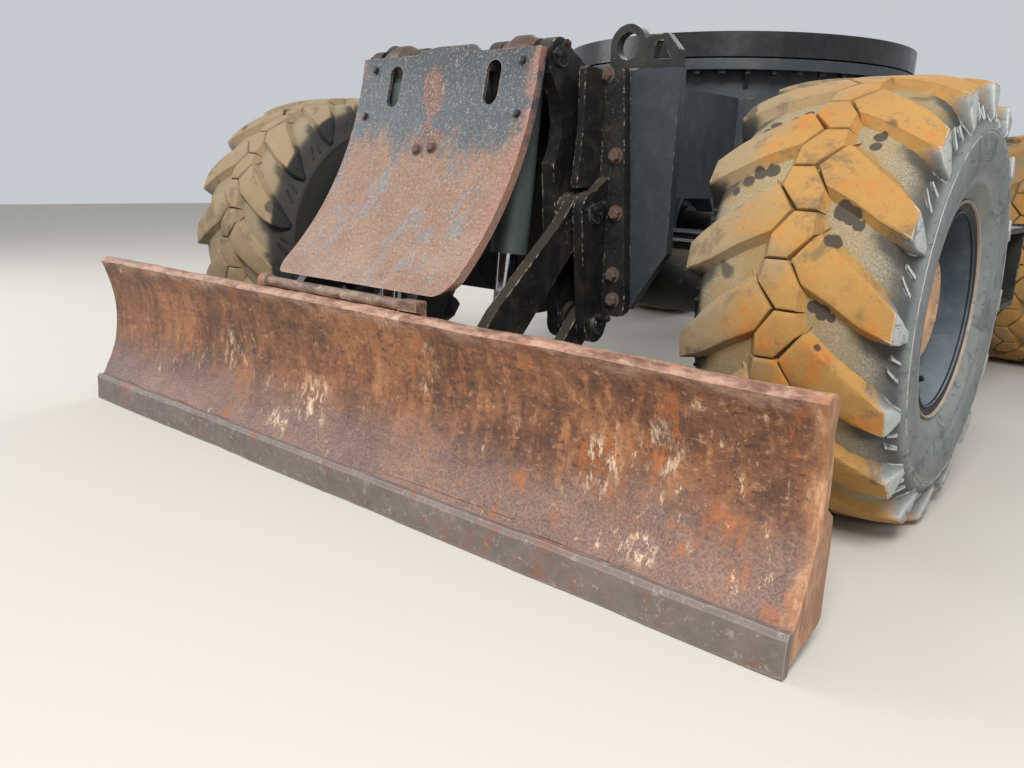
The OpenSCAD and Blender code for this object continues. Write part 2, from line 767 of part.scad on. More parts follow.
// Closed box beside the frame, with a chamfered foot and a raised door
module side_box() {
    color(steel_black) stand() {
        along_y(box_y0, box_l) polygon([
            [main_hw, box_low], [main_hw + box_w - 70, box_low], [main_hw + box_w, box_low + 70],
            [main_hw + box_w, box_low + box_h - 30], [main_hw + box_w - 30, box_low + box_h], [main_hw, box_low + box_h]
        ]);
        translate([main_hw + box_w - cut, box_y0 + 30, box_low + 125]) cube([7, box_l - 60, box_h - 180]);
    }
}

// Two slotted treads between side plates with slanted feet
module steps() {
    x = main_hw + box_w;
    color(steel_black) stand() {
        difference() {
            for (z = step_z) translate([x, step_y0 - cut, z - step_t]) cube([step_w, step_l + 2 * cut, step_t]);
            for (i = [0 : 4]) translate([x + 40, step_y0 + 46 + i * 76, step_z[0] - 2 * step_t])
                cube([step_w - 80, 36, step_z[1] - step_z[0] + 3 * step_t]);
        }
        for (y = [step_y0 - step_side_t, step_y0 + step_l]) along_y(y, step_side_t) polygon([
            [x, step_z[0] - 40], [x + step_w - 40, step_z[0] - step_t], [x + step_w, step_z[0]],
            [x + step_w, step_z[1] + 10], [x, step_z[1] + 10]
        ]);
    }
}

// Blade

mould_low = [edge_t, edge_top - 2];
mould_high = [47, blade_top - 8];
mould_c = let (
    chord = mould_high - mould_low,
    half = norm(chord) / 2,
    r = (half * half + mould_sag * mould_sag) / (2 * mould_sag),
    mid = (mould_high + mould_low) / 2,
    n = [chord[1], -chord[0]] / norm(chord)
) [mid - n * (r - mould_sag), r];

module mould_section() {
    c = mould_c[0];
    r = mould_c[1];
    difference() {
        union() {
            intersection() {
                translate(c) circle(r = r + mould_t, $fn = 128);
                translate([0, edge_top - 2]) square([300, blade_top - edge_top + 2 - rail_r]);
            }
            translate([47 + rail_r, blade_top - rail_r]) circle(r = rail_r);
            polygon([
                [47, blade_top - rail_r], [109, blade_top - rail_r], [104, 430], [80, 420]
            ]);
            polygon([
                [edge_t, edge_gap + 15], [box_back - 10, 50], [box_back, 60],
                [box_back, box_top - 60], [box_back - 8, box_top], [110, box_top + 30], [edge_t, edge_top]
            ]);
        }
        translate(c) circle(r = r, $fn = 128);
    }
}

module blade_rib() {
    up = [arm_pin_y - arm_run, arm_pin_z - arm_drop];
    low = [low_pin_y - arm_run, low_pin_z - arm_drop];
    difference() {
        union() {
            translate(up) circle(r = 50);
            translate(low) circle(r = 46);
            polygon([
                [90, 44], [low[0], low[1] - 46], [low[0] + 44, low[1] + 12], [box_back + 30, 250],
                [up[0] + 48, up[1] - 12], [up[0] + 20, up[1] + 46], [98, 455], [88, 430],
                [104, 300], [90, 150]
            ]);
        }
    }
}

module mouldboard() {
    color(rust) stand() difference() {
        union() {
            along_x(-overall_w / 2, overall_w) mould_section();
            both_sides() along_x(arm_in - side_gap - lug_t, lug_t) blade_rib();
            both_sides() along_x(ear_x, ear_t) blade_rib();
        }
        both_sides() {
            bar_x(arm_pin_r + fit, 200, arm_in + arm_t / 2, arm_pin_y - arm_run, arm_pin_z - arm_drop);
            bar_x(arm_pin_r + fit, 200, arm_in + arm_t / 2, low_pin_y - arm_run, low_pin_z - arm_drop);
        }
    }
}

module cutting_edge() {
    color(rust) stand() along_x(-overall_w / 2, overall_w) polygon([
        [0, edge_gap], [edge_t - 6, edge_gap], [edge_t, edge_gap + 12], [edge_t, edge_top - 2],
        [8, edge_top - 2], [0, edge_top - 12]
    ]);
}

rub_x0 = -350;
rub_x1 = 230;
module rub_bar() {
    y = 47 + rail_r + 18;
    z = blade_top + rub_r - 6;
    color(rust) stand() difference() {
        union() {
            translate([rub_x0, y, z]) rotate([0, 90, 0]) cylinder(r = rub_r, h = rub_x1 - rub_x0);
            translate([rub_x1 - 10, y - 18, z - 22]) cube([62, 36, 38]);
            translate([rub_x0 - 10, y, z]) rotate([0, 90, 0]) cylinder(r = rub_r + 6, h = 30);
        }
        translate([0, 47 + rail_r, blade_top - rail_r]) rotate([0, 90, 0])
            cylinder(r = rail_r, h = 2000, center = true);
        translate([0, 47 + rail_r, blade_top - 2 * rail_r]) cube([2000, 200, 2 * rail_r], center = true);
    }
}

module blade_pins() {
    color(chrome) stand() both_sides() {
        for (p = [[arm_pin_y, arm_pin_z], [low_pin_y, low_pin_z]])
            translate([arm_in - side_gap - lug_t, p[0] - arm_run, p[1] - arm_drop]) rotate([0, 90, 0])
                cylinder(r = arm_pin_r, h = lug_t + arm_t + 2 * side_gap + ear_t + 8);
    }
}

// Arms

arm_eye_r = 54;
low_eye_r = 44;

// Arm outline between its rear pin and its front pin, in (y, z)
module arm_outline(py, pz, rear_r, front_r, belly) {
    a = atan2(arm_drop, arm_run);
    l = norm([arm_run, arm_drop]);
    translate([py, pz]) rotate(180 + a) difference() {
        union() {
            circle(r = rear_r);
            translate([l, 0]) circle(r = front_r);
            polygon([
                [0, -rear_r], [90, -rear_r + 8], [l - 120, -belly], [l, -front_r],
                [l, front_r], [l - 130, belly + 6], [90, rear_r - 6], [0, rear_r]
            ]);
        }
        circle(r = arm_pin_r + fit);
        translate([l, 0]) circle(r = arm_pin_r + fit);
    }
}

module upper_arm() {
    color(steel_black) stand() along_x(arm_in, arm_t) arm_outline(arm_pin_y, arm_pin_z, arm_eye_r, 48, 60);
}

eye_pos = [low_pin_y - eye_share * arm_run, low_pin_z - eye_share * arm_drop];
arm_dir = [-arm_run, -arm_drop] / norm([arm_run, arm_drop]);
tube_pos = eye_pos + 118 * arm_dir;
tube_r = 38;
rod_eye_w = 70;

module lower_arms() {
    color(steel_black) stand() {
        both_sides() along_x(arm_in, arm_t) arm_outline(low_pin_y, low_pin_z, low_eye_r, 42, 48);
        bar_x(tube_r, 2 * arm_in + 4, 0, tube_pos[0], tube_pos[1]);
        both_sides() for (x = [cyl_x - rod_eye_w / 2 - side_gap - 24, cyl_x + rod_eye_w / 2 + side_gap])
            along_x(x, 24) difference() {
                union() {
                    translate(eye_pos) circle(r = 46);
                    polygon([
                        eye_pos + 46 * [-arm_dir[1], arm_dir[0]], eye_pos - 46 * [-arm_dir[1], arm_dir[0]],
                        tube_pos - 30 * [-arm_dir[1], arm_dir[0]], tube_pos + 30 * [-arm_dir[1], arm_dir[0]]
                    ]);
                }
            }
    }
}

// Lift cylinders, drawn along their own axis from the upper pin at the origin

cyl_line = [eye_pos[0] - cyl_pin_y, eye_pos[1] - cyl_pin_z];
cyl_len = norm(cyl_line);
cyl_lean = atan2(-cyl_line[0], -cyl_line[1]);
bore_r = barrel_r - 12;
rod_top = 234;

module at_cylinder(s) {
    stand() translate([s * cyl_x, cyl_pin_y, cyl_pin_z]) rotate([-cyl_lean, 0, 0]) children();
}

module lift_barrel() {
    color(steel_grey) difference() {
        union() {
            revolve_x() polygon([
                [0, -cyl_eye_w / 2], [cyl_eye_r, -cyl_eye_w / 2], [cyl_eye_r, 10 - cyl_eye_w / 2],
                [cyl_eye_r + 11, -18], [cyl_eye_r + 11, 18], [cyl_eye_r, cyl_eye_w / 2 - 10],
                [cyl_eye_r, cyl_eye_w / 2], [0, cyl_eye_w / 2]
            ]);
            translate([0, 0, -barrel_l]) cylinder(r = barrel_r, h = barrel_l - 55);
            translate([0, 0, -56]) cylinder(r = cyl_eye_r - 4, h = 40);
        }
        bar_x(cyl_pin_r + fit, cyl_eye_w + 2 * cut);
        translate([0, 0, 30 - barrel_l]) cylinder(r = bore_r, h = barrel_l - 30 - 66);
        translate([0, 0, -barrel_l - cut]) cylinder(r = rod_r + fit, h = 30 + 2 * cut);
    }
}

module lift_rod() {
    color(chrome) {
        translate([0, 0, -cyl_len + 30]) cylinder(r = rod_r, h = cyl_len - rod_top - 30);
        translate([0, 0, -rod_top - 50]) cylinder(r = bore_r - skin, h = 50);
        translate([0, 0, -cyl_len]) bar_x(44, rod_eye_w);
    }
}

chassis_frame();
front_plate();
axle_yoke();
blade_bracket();
guard_plate();
bracket_pins();
tie_down_eyes();
slew_inner_ring();
slew_outer_ring();
centre_swivel();
rear_axle();
travel_gearbox();
prop_shaft();
on_side(-1) side_box();  // side_box_left
on_side(1) side_box();  // side_box_right
on_side(-1) steps();  // steps_left
on_side(1) steps();  // steps_right
front_axle();
steer_cylinder();
steer_bar();
at_knuckle(-1) knuckle();  // knuckle_left
at_knuckle(1) knuckle();  // knuckle_right
at_wheel(-1, front_axle_y) tyre();  // tyre_front_left
at_wheel(1, front_axle_y) tyre();  // tyre_front_right
at_wheel(-1, rear_axle_y) tyre();  // tyre_rear_left
at_wheel(1, rear_axle_y) tyre();  // tyre_rear_right
at_wheel(-1, front_axle_y) rim();  // rim_front_left
at_wheel(1, front_axle_y) rim();  // rim_front_right
at_wheel(-1, rear_axle_y) rim();  // rim_rear_left
at_wheel(1, rear_axle_y) rim();  // rim_rear_right
at_wheel(-1, front_axle_y) hub();  // hub_front_left
at_wheel(1, front_axle_y) hub();  // hub_front_right
at_wheel(-1, rear_axle_y) hub();  // hub_rear_left
at_wheel(1, rear_axle_y) hub();  // hub_rear_right
on_side(-1) upper_arm();  // upper_arm_left
on_side(1) upper_arm();  // upper_arm_right
lower_arms();
mouldboard();
cutting_edge();
rub_bar();
blade_pins();
at_cylinder(-1) lift_barrel();  // lift_barrel_left
at_cylinder(1) lift_barrel();  // lift_barrel_right
at_cylinder(-1) lift_rod();  // lift_rod_left
at_cylinder(1) lift_rod();  // lift_rod_right
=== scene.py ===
import json
import math

import bmesh
import bpy
from mathutils import Matrix, Vector, noise


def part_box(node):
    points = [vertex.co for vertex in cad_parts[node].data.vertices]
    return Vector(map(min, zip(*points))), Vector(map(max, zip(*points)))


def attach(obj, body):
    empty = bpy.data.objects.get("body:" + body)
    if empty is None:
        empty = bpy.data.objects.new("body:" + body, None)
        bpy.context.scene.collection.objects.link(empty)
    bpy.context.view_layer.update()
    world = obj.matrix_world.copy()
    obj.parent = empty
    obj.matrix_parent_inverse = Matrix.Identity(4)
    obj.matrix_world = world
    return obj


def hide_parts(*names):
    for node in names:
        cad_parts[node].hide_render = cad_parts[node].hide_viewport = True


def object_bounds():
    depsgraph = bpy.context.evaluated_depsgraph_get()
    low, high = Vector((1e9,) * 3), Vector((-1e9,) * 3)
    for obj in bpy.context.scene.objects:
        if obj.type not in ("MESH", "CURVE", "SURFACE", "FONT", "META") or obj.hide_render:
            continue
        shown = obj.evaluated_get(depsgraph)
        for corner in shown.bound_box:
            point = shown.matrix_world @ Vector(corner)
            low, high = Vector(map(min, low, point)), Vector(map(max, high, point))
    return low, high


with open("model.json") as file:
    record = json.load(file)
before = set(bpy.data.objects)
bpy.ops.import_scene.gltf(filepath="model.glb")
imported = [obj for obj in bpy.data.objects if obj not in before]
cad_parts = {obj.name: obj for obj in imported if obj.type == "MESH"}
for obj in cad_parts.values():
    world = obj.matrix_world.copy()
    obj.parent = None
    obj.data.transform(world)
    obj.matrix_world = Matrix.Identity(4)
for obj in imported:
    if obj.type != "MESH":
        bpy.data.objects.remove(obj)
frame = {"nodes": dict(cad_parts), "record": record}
cad_lo, cad_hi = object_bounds()
NODES = frame["nodes"]

# Driving sizes

EDGE_OUT = -cad_lo.y  # metres from the frame's origin forward to the cutting edge
# Axles and slewing ring: millimetres behind the cutting edge, and the axles' height above the floor
AXLES = {"front": 940, "rear": 3540}
AXLE_Z = 546
SLEW_Y = 2210
SIDES = {"left": -1, "right": 1}
# Tyre: radius, half width, and metres from the machine's middle to the tyre's
TYRE_R = AXLE_Z / 1000
TYRE_HALF = 0.245
WHEEL_X = (cad_hi.x - cad_lo.x) / 2 - TYRE_HALF

FORWARD = Vector((0, -1, 0))
BACK = Vector((0, 1, 0))
UP = Vector((0, 0, 1))
DOWN = Vector((0, 0, -1))


def at(x, y, z):
    """A place in the row frame from millimetres across, behind the cutting edge, and up."""
    return Vector((x / 1000, y / 1000 - EDGE_OUT, z / 1000))


def on_wheel(x, y, degrees, out, r):
    """A place on a wheel, from the angle up its front and metres out from its middle and its axle."""
    turn = math.radians(degrees)
    return at(0, y, 0) + Vector((x + out, -r * math.cos(turn), TYRE_R + r * math.sin(turn)))


def turns(count):
    """Angles that share a full turn evenly."""
    return [2 * math.pi * i / count for i in range(count)]


def ramp(value, start, end):
    """0 up to start and 1 from end on, straight between; end may be the smaller."""
    return max(0.0, min(1.0, (value - start) / (end - start)))


# Shader patterns


def linear_colour(code):
    """Linear colour of a hex sRGB one."""
    out = []
    for i in (0, 2, 4):
        c = int(code[i : i + 2], 16) / 255
        out.append(c / 12.92 if c <= 0.04045 else ((c + 0.055) / 1.055) ** 2.4)
    return (*out, 1.0)


def set_inputs(node, values):
    for key, value in values.items():
        node.inputs[key].default_value = value


class Shader:
    """A material whose patterns are read from the row frame's own metres."""

    def __init__(self, name, metallic=0.0, rough=0.6):
        self.mat = bpy.data.materials.new(name)
        self.mat.use_nodes = True
        self.tree = self.mat.node_tree
        self.bsdf = self.tree.nodes["Principled BSDF"]
        self.pos = self.new("ShaderNodeTexCoord").outputs["Object"]
        self.coat = None
        set_inputs(self.bsdf, {"Metallic": metallic, "Roughness": rough})

    def new(self, kind, **attrs):
        node = self.tree.nodes.new(kind)
        for key, value in attrs.items():
            setattr(node, key, value)
        return node

    def put(self, socket, value):
        """Links a socket, or sets it to a number, a vector or a hex colour."""
        if isinstance(value, bpy.types.NodeSocket):
            self.tree.links.new(value, socket)
        elif isinstance(value, str):
            socket.default_value = linear_colour(value)
        else:
            socket.default_value = value

    def calc(self, op, a, b=0.0):
        node = self.new("ShaderNodeMath", operation=op)
        self.put(node.inputs[0], a)
        self.put(node.inputs[1], b)
        return node.outputs[0]

    def mul(self, a, b):
        return self.calc("MULTIPLY", a, b)

    def stretch(self, scale, turn=(0, 0, 0)):
        """The place scaled along each axis and turned, for patterns that run one way."""
        node = self.new("ShaderNodeMapping")
        self.put(node.inputs["Vector"], self.pos)
        set_inputs(node, {"Scale": scale, "Rotation": [math.radians(a) for a in turn]})
        return node.outputs[0]

    def noise(self, scale, detail=4.0, rough=0.55, vec=None, bend=0.0):
        node = self.new("ShaderNodeTexNoise")
        self.put(node.inputs["Vector"], vec or self.pos)
        set_inputs(node, {"Scale": scale, "Detail": detail, "Roughness": rough, "Distortion": bend})
        return node.outputs["Fac"]

    def step(self, value, lo, hi):
        """0 below lo and 1 above hi, smooth between; turned round if lo is the larger."""
        node = self.new("ShaderNodeMapRange", interpolation_type="SMOOTHSTEP")
        self.put(node.inputs["Value"], value)
        set_inputs(node, {"From Min": min(lo, hi), "From Max": max(lo, hi)})
        set_inputs(node, {"To Min": float(lo > hi), "To Max": float(lo <= hi)})
        return node.outputs["Result"]

    def patches(self, lo, hi, scale, detail=4.0, rough=0.55, vec=None, bend=0.0):
        """Patches of 1 where a noise passes from lo to hi."""
        return self.step(self.noise(scale, detail, rough, vec, bend), lo, hi)

    def ragged(self, value, reach, scale, detail=4.0, rough=0.55):
        """A value with noise of that reach added, so that a border drawn from it is ragged."""
        return self.calc("ADD", value, self.mul(self.noise(scale, detail, rough), reach))

    def mix(self, mask, a, b, share=1.0):
        """Colour a turned to b where the mask is 1, by that share."""
        node = self.new("ShaderNodeMix", data_type="RGBA")
        self.put(node.inputs[0], mask if share == 1.0 else self.mul(mask, share))
        self.put(node.inputs[6], a)
        self.put(node.inputs[7], b)
        return node.outputs[2]

    def lay(self, mask, colour, share=1.0):
        """Lays a colour over the coat where the mask is 1, by that share."""
        self.coat = self.mix(mask, self.coat, colour, share)

    def lerp(self, mask, a, b):
        node = self.new("ShaderNodeMix", data_type="FLOAT")
        self.put(node.inputs[0], mask)
        self.put(node.inputs[2], a)
        self.put(node.inputs[3], b)
        return node.outputs[0]

    def axis(self, which):
        node = self.new("ShaderNodeSeparateXYZ")
        self.put(node.inputs[0], self.pos)
        return node.outputs[which]

    def faces_up(self):
        node = self.new("ShaderNodeSeparateXYZ")
        self.put(node.inputs[0], self.new("ShaderNodeNewGeometry").outputs["Normal"])
        return node.outputs[2]

    def attr(self, name):
        return self.new("ShaderNodeAttribute", attribute_name=name).outputs["Fac"]

    def near(self, spots):
        """Distance to the nearest of (place, radius) spots, as a share of its radius."""
        least = None
        for place, radius in spots:
            node = self.new("ShaderNodeVectorMath", operation="DISTANCE")
            self.put(node.inputs[0], self.pos)
            node.inputs[1].default_value = place
            share = self.mul(node.outputs["Value"], 1.0 / radius)
            least = share if least is None else self.calc("MINIMUM", least, share)
        return least

    def edges(self, radius):
        """1 near sharp edges, 0 on flats."""
        bevel = self.new("ShaderNodeBevel", samples=4)
        bevel.inputs["Radius"].default_value = radius
        geo = self.new("ShaderNodeNewGeometry")
        dot = self.new("ShaderNodeVectorMath", operation="DOT_PRODUCT")
        self.put(dot.inputs[0], bevel.outputs["Normal"])
        self.put(dot.inputs[1], geo.outputs["Normal"])
        return self.step(dot.outputs["Value"], 0.985, 0.90)

    def bump(self, height, strength, distance):
        node = self.new("ShaderNodeBump")
        self.put(node.inputs["Height"], height)
        set_inputs(node, {"Strength": strength, "Distance": distance})
        self.put(self.bsdf.inputs["Normal"], node.outputs[0])

    def roughness(self, value):
        self.put(self.bsdf.inputs["Roughness"], value)

    def done(self):
        """Joins the coat to the material and gives the material."""
        self.put(self.bsdf.inputs["Base Color"], self.coat)
        return self.mat


# Materials of the blade and the guard plate

# Clusters of bright scratches on the blade: millimetres across and up, and radius in millimetres. The
# first ones have orange rust round them.
SCARS = [
    (963, 325, 75), (822, 262, 85), (837, 330, 50), (304, 426, 42), (72, 328, 48), (-533, 288, 90),
    (-129, 213, 95), (314, 340, 62), (-251, 120, 60), (1027, 438, 32), (1230, 310, 40), (948, 130, 45),
    (573, 310, 48), (216, 459, 60),
]
RUSTY_SCARS = 5
SCAR_Y = 55

# Where a band of other colour starts and where it is full: metres above the floor
BLADE_LOW = (0.42, 0.24)
BLADE_LIP = (0.486, 0.520)
RUB_BAR = (0.507, 0.510)
GUARD_TOP = (1.02, 1.15)
GUARD_BARE = (1.17, 1.05)
GUARD_FOOT = (0.74, 0.58)
# The same, in metres to the right of the machine's middle
BLADE_END = (1.262, 1.296)
GUARD_RIGHT = (0.286, 0.324)
GUARD_LEFT = (-0.300, -0.330)

# Patch worn bare in the middle of the guard plate: place in millimetres, radius in metres
HEART = [
    (-30, 440, 1075, 0.034), (-22, 428, 1045, 0.040), (-16, 416, 1010, 0.030), (-20, 400, 955, 0.018),
    (18, 392, 922, 0.026), (-34, 388, 905, 0.020),
]


def blade_material():
    """Rolled steel gone brown, scoured by the ground, with streaks of fresh orange rust."""
    steel = Shader("blade_rust", metallic=0.1, rough=0.5)
    x = steel.axis(0)
    z = steel.axis(2)
    drag = steel.noise(24, 8, 0.74, vec=steel.stretch((1.0, 1.0, 0.30), turn=(0, 10, 0)))
    fine = steel.noise(95, 7, 0.75, vec=steel.stretch((0.55, 1.0, 0.9), turn=(0, 28, 0)))
    steel.coat = steel.mix(steel.patches(0.36, 0.66, 2.4, 6, 0.62, bend=0.8), "5c3a29", "a26d47")
    steel.lay(steel.step(drag, 0.50, 0.66), "b07a50", 0.7)
    steel.lay(steel.step(drag, 0.47, 0.35), "40302a", 0.7)
    flow = steel.stretch((0.35, 1.0, 2.0), turn=(0, 14, 0))
    steel.lay(steel.patches(0.47, 0.34, 9, 7, 0.7, vec=flow), "49302a", 0.55)
    steel.lay(steel.step(fine, 0.55, 0.66), "bb9271", 0.65)
    steel.lay(steel.step(fine, 0.46, 0.36), "241712", 0.75)
    scoured = steel.mix(steel.patches(0.38, 0.62, 190, 5, 0.72), "5e4a46", "8b7670")
    steel.lay(steel.step(steel.ragged(z, 0.22, 5, 6, 0.65), *BLADE_LOW), scoured, 0.72)
    worn = steel.noise(28, 7, 0.75, vec=steel.stretch((0.5, 1.0, 1.0)))
    top_rail = steel.mix(steel.step(worn, 0.38, 0.62), "6d4b3e", "b8957f")
    steel.lay(steel.step(steel.ragged(z, 0.06, 9, 5), *BLADE_LIP), top_rail, 0.8)
    rub_bar = steel.mix(steel.step(worn, 0.40, 0.62), "54403a", "85705f")
    steel.lay(steel.step(z, *RUB_BAR), rub_bar, 0.9)
    drip_way = steel.stretch((1.0, 1.0, 0.25), turn=(0, -14, 0))
    drips = steel.patches(0.54, 0.63, 17, 7, 0.74, vec=drip_way)
    steel.lay(steel.mul(drips, steel.patches(0.46, 0.58, 2.6)), "a65f31", 0.7)
    steel.lay(steel.patches(0.585, 0.67, 17, 8, 0.8, bend=0.3), "a65f33", 0.5)
    scratch_way = steel.stretch((1.0, 1.0, 0.36), turn=(0, 30, 0))
    scratches = steel.patches(0.582, 0.635, 30, 7, 0.8, vec=scratch_way)
    scratched = steel.mul(scratches, steel.patches(0.50, 0.58, 3.2, 4, 0.6))
    steel.lay(scratched, "d2b393", 0.85)
    scars = [(at(across, SCAR_Y, up), r / 1000) for across, up, r in SCARS]
    claws = steel.noise(46, 7, 0.8, vec=steel.stretch((1.0, 1.0, 0.34), turn=(0, 32, 0)))
    clusters = steel.step(steel.ragged(steel.near(scars), 1.2, 14, 6, 0.7), 1.65, 1.05)
    steel.lay(steel.mul(steel.step(claws, 0.50, 0.60), clusters), "dfc3a4", 0.85)
    rusty = steel.step(steel.ragged(steel.near(scars[:RUSTY_SCARS]), 1.0, 24, 6, 0.75), 1.55, 1.25)
    steel.lay(steel.mul(rusty, steel.step(claws, 0.49, 0.40)), "b0622f", 0.6)
    rub_way = steel.stretch((0.5, 1.0, 1.4), turn=(0, -24, 0))
    rubbed = steel.patches(0.62, 0.70, 34, 6, 0.8, vec=rub_way)
    steel.lay(steel.mul(rubbed, steel.patches(0.50, 0.60, 4.4)), "cda27a", 0.75)
    end_plate = steel.mix(steel.step(drag, 0.45, 0.6), "9c6b49", "c99c76")
    steel.lay(steel.step(steel.ragged(x, 0.05, 20, 5), *BLADE_END), end_plate, 0.85)
    steel.lay(steel.mul(steel.edges(0.008), steel.patches(0.40, 0.60, 30, 5)), "b58a6e", 0.7)
    steel.roughness(steel.lerp(fine, 0.36, 0.72))
    pitted = steel.ragged(drag, 1.5, 26, 8, 0.74)
    steel.bump(steel.calc("SUBTRACT", pitted, steel.mul(scratched, 0.3)), 0.7, 0.004)
    return steel.done()


def edge_material():
    """Bolt-on cutting edge, greyer than the blade and knocked bright on its edges."""
    steel = Shader("cutting_edge_steel", metallic=0.15, rough=0.6)
    steel.coat = steel.mix(steel.noise(14, 7, 0.72), "4d4341", "8c8079")
    steel.lay(steel.patches(0.54, 0.66, 9, 7, 0.72, bend=0.8), "8a5337", 0.6)
    steel.lay(steel.patches(0.56, 0.66, 60, 6, 0.7), "a8988f", 0.6)
    steel.lay(steel.edges(0.006), "a99890", 0.6)
    steel.bump(steel.noise(50, 8, 0.75), 0.8, 0.004)
    return steel.done()


def guard_material():
    """Blue-grey paint above, ground off to rust below, with gritty pits."""
    plate = Shader("guard_paint", metallic=0.1, rough=0.5)
    x = plate.axis(0)
    z = plate.axis(2)
    grit = plate.noise(150, 6, 0.78)
    streak = plate.noise(16, 8, 0.74, vec=plate.stretch((1.0, 0.5, 0.32), turn=(0, 16, 0)))
    grey = plate.mix(plate.noise(16, 7, 0.72), "2e3337", "4f5558")
    grey = plate.mix(plate.step(z, *GUARD_TOP), grey, "2a2e31", 0.6)
    rust = plate.mix(plate.noise(13, 8, 0.74), "6b5144", "9d7c66")
    rust = plate.mix(plate.patches(0.53, 0.64, 9, 8, 0.74), rust, "8c5a3c", 0.6)
    rust = plate.mix(plate.step(streak, 0.50, 0.62), rust, "74787a", 0.75)
    bare = plate.step(plate.calc("ADD", z, plate.mul(streak, 0.42)), *GUARD_BARE)
    plate.coat = plate.mix(bare, grey, rust)
    heart = plate.near([(at(*place), r) for *place, r in HEART])
    worn = plate.step(plate.ragged(heart, 1.6, 34, 8, 0.78), 2.00, 1.72)
    plate.lay(worn, plate.mix(plate.step(grit, 0.42, 0.58), "5a3a2d", "83553f"), 0.8)
    right_rim = plate.mul(plate.step(x, *GUARD_RIGHT), plate.patches(0.43, 0.54, 22, 8, 0.78))
    plate.lay(right_rim, "96695a", 0.75)
    left_rim = plate.mul(plate.step(x, *GUARD_LEFT), plate.patches(0.46, 0.56, 20, 8, 0.78))
    plate.lay(left_rim, "7e5c50", 0.6)
    foot = plate.mul(plate.step(z, *GUARD_FOOT), plate.patches(0.42, 0.58, 8, 7, 0.72))
    plate.lay(foot, "98806f", 0.6)
    plate.lay(plate.step(grit, 0.54, 0.64), "b3a69c", 0.55)
    plate.lay(plate.step(grit, 0.46, 0.37), "2b2726", 0.65)
    scratch_way = plate.stretch((1.0, 1.0, 0.16), turn=(0, 24, 0))
    scratches = plate.patches(0.60, 0.66, 60, 6, 0.82, vec=scratch_way)
    plate.lay(plate.mul(scratches, plate.patches(0.48, 0.60, 4, 3)), "a99f98", 0.55)
    plate.lay(plate.mul(plate.edges(0.005), plate.patches(0.42, 0.58, 40, 5)), "a98d7f", 0.7)
    plate.roughness(plate.lerp(bare, 0.48, 0.66))
    plate.bump(plate.calc("ADD", plate.noise(60, 8, 0.75), plate.mul(grit, 0.6)), 0.6, 0.0025)
    return plate.done()


# Paint, rust and metal


def paint(name, base, other, chip, chips, rough, dust_and_light_share, dust_and_sky_light="8f8168", lines=0.0, rust_from=None):
    """Worn machine paint with chipped edges, thin scratches and a tint that lies on top faces,
    settled dusting on most paints and painted sky light on the rim.

    chips, dust_and_light_share and lines are the shares of chips, that tint and scratches, and rust_from
    is the height in metres above which the paint is gone.
    """
    coat = Shader(name, metallic=0.0, rough=rough)
    coat.coat = coat.mix(coat.noise(7, 5), base, other)
    coat.lay(coat.patches(0.42, 0.70, 16, 6, 0.65, bend=0.5), dust_and_sky_light, 0.45 * dust_and_light_share)
    # Top faces get the tint: settled dusting on most paints, painted sky light on the rim's upward faces
    coat.lay(coat.step(coat.faces_up(), 0.35, 0.95), dust_and_sky_light, dust_and_light_share)
    spots = coat.mul(coat.patches(0.63, 0.67, 85, 8, 0.78), coat.patches(0.44, 0.60, 5))
    coat.lay(spots, chip, min(1.0, chips * 2.2))
    broken = coat.mul(coat.patches(0.50, 0.58, 45, 7, 0.78), coat.patches(0.42, 0.58, 7, 3))
    coat.lay(coat.mul(coat.edges(0.006), broken), chip, min(1.0, chips * 2.4))
    if lines:
        web = coat.new("ShaderNodeTexVoronoi", feature="DISTANCE_TO_EDGE")
        coat.put(web.inputs["Vector"], coat.stretch((1.0, 1.3, 0.7), turn=(35, 10, 0)))
        web.inputs["Scale"].default_value = 26
        thin = coat.step(coat.ragged(web.outputs["Distance"], 0.10, 60, 5, 0.7), 0.058, 0.046)
        coat.lay(coat.mul(thin, coat.patches(0.52, 0.62, 6)), chip, lines)
    if rust_from is not None:
        rusty = coat.step(coat.ragged(coat.axis(2), 0.03, 20, 5), rust_from, rust_from + 0.02)
        coat.lay(rusty, coat.mix(coat.noise(30, 7, 0.75), "2f211a", "5e4333"), 0.92)
    coat.roughness(coat.lerp(coat.noise(22), rough - 0.10, rough + 0.22))
    coat.bump(coat.noise(120, 6, 0.7), 0.2, 0.0012)
    return coat.done()


def rust_material(name, dull, bright, dark):
    rust = Shader(name, metallic=0.05, rough=0.8)
    rust.coat = rust.mix(rust.noise(28, 7, 0.7), dull, bright)
    rust.lay(rust.patches(0.58, 0.68, 16, 6, 0.7), dark)
    rust.bump(rust.noise(110, 8, 0.75), 0.6, 0.002)
    return rust.done()


def metal_material(name, base, other, rough, metallic, grime, dirty):
    metal = Shader(name, metallic=metallic, rough=rough)
    metal.coat = metal.mix(metal.noise(20, 5), base, other)
    dirt = metal.mul(metal.patches(0.50, 0.66, 24, 6, 0.7), dirty)
    metal.lay(dirt, grime)
    metal.roughness(metal.lerp(dirt, rough, 0.75))
    return metal.done()


# Tyre rubber

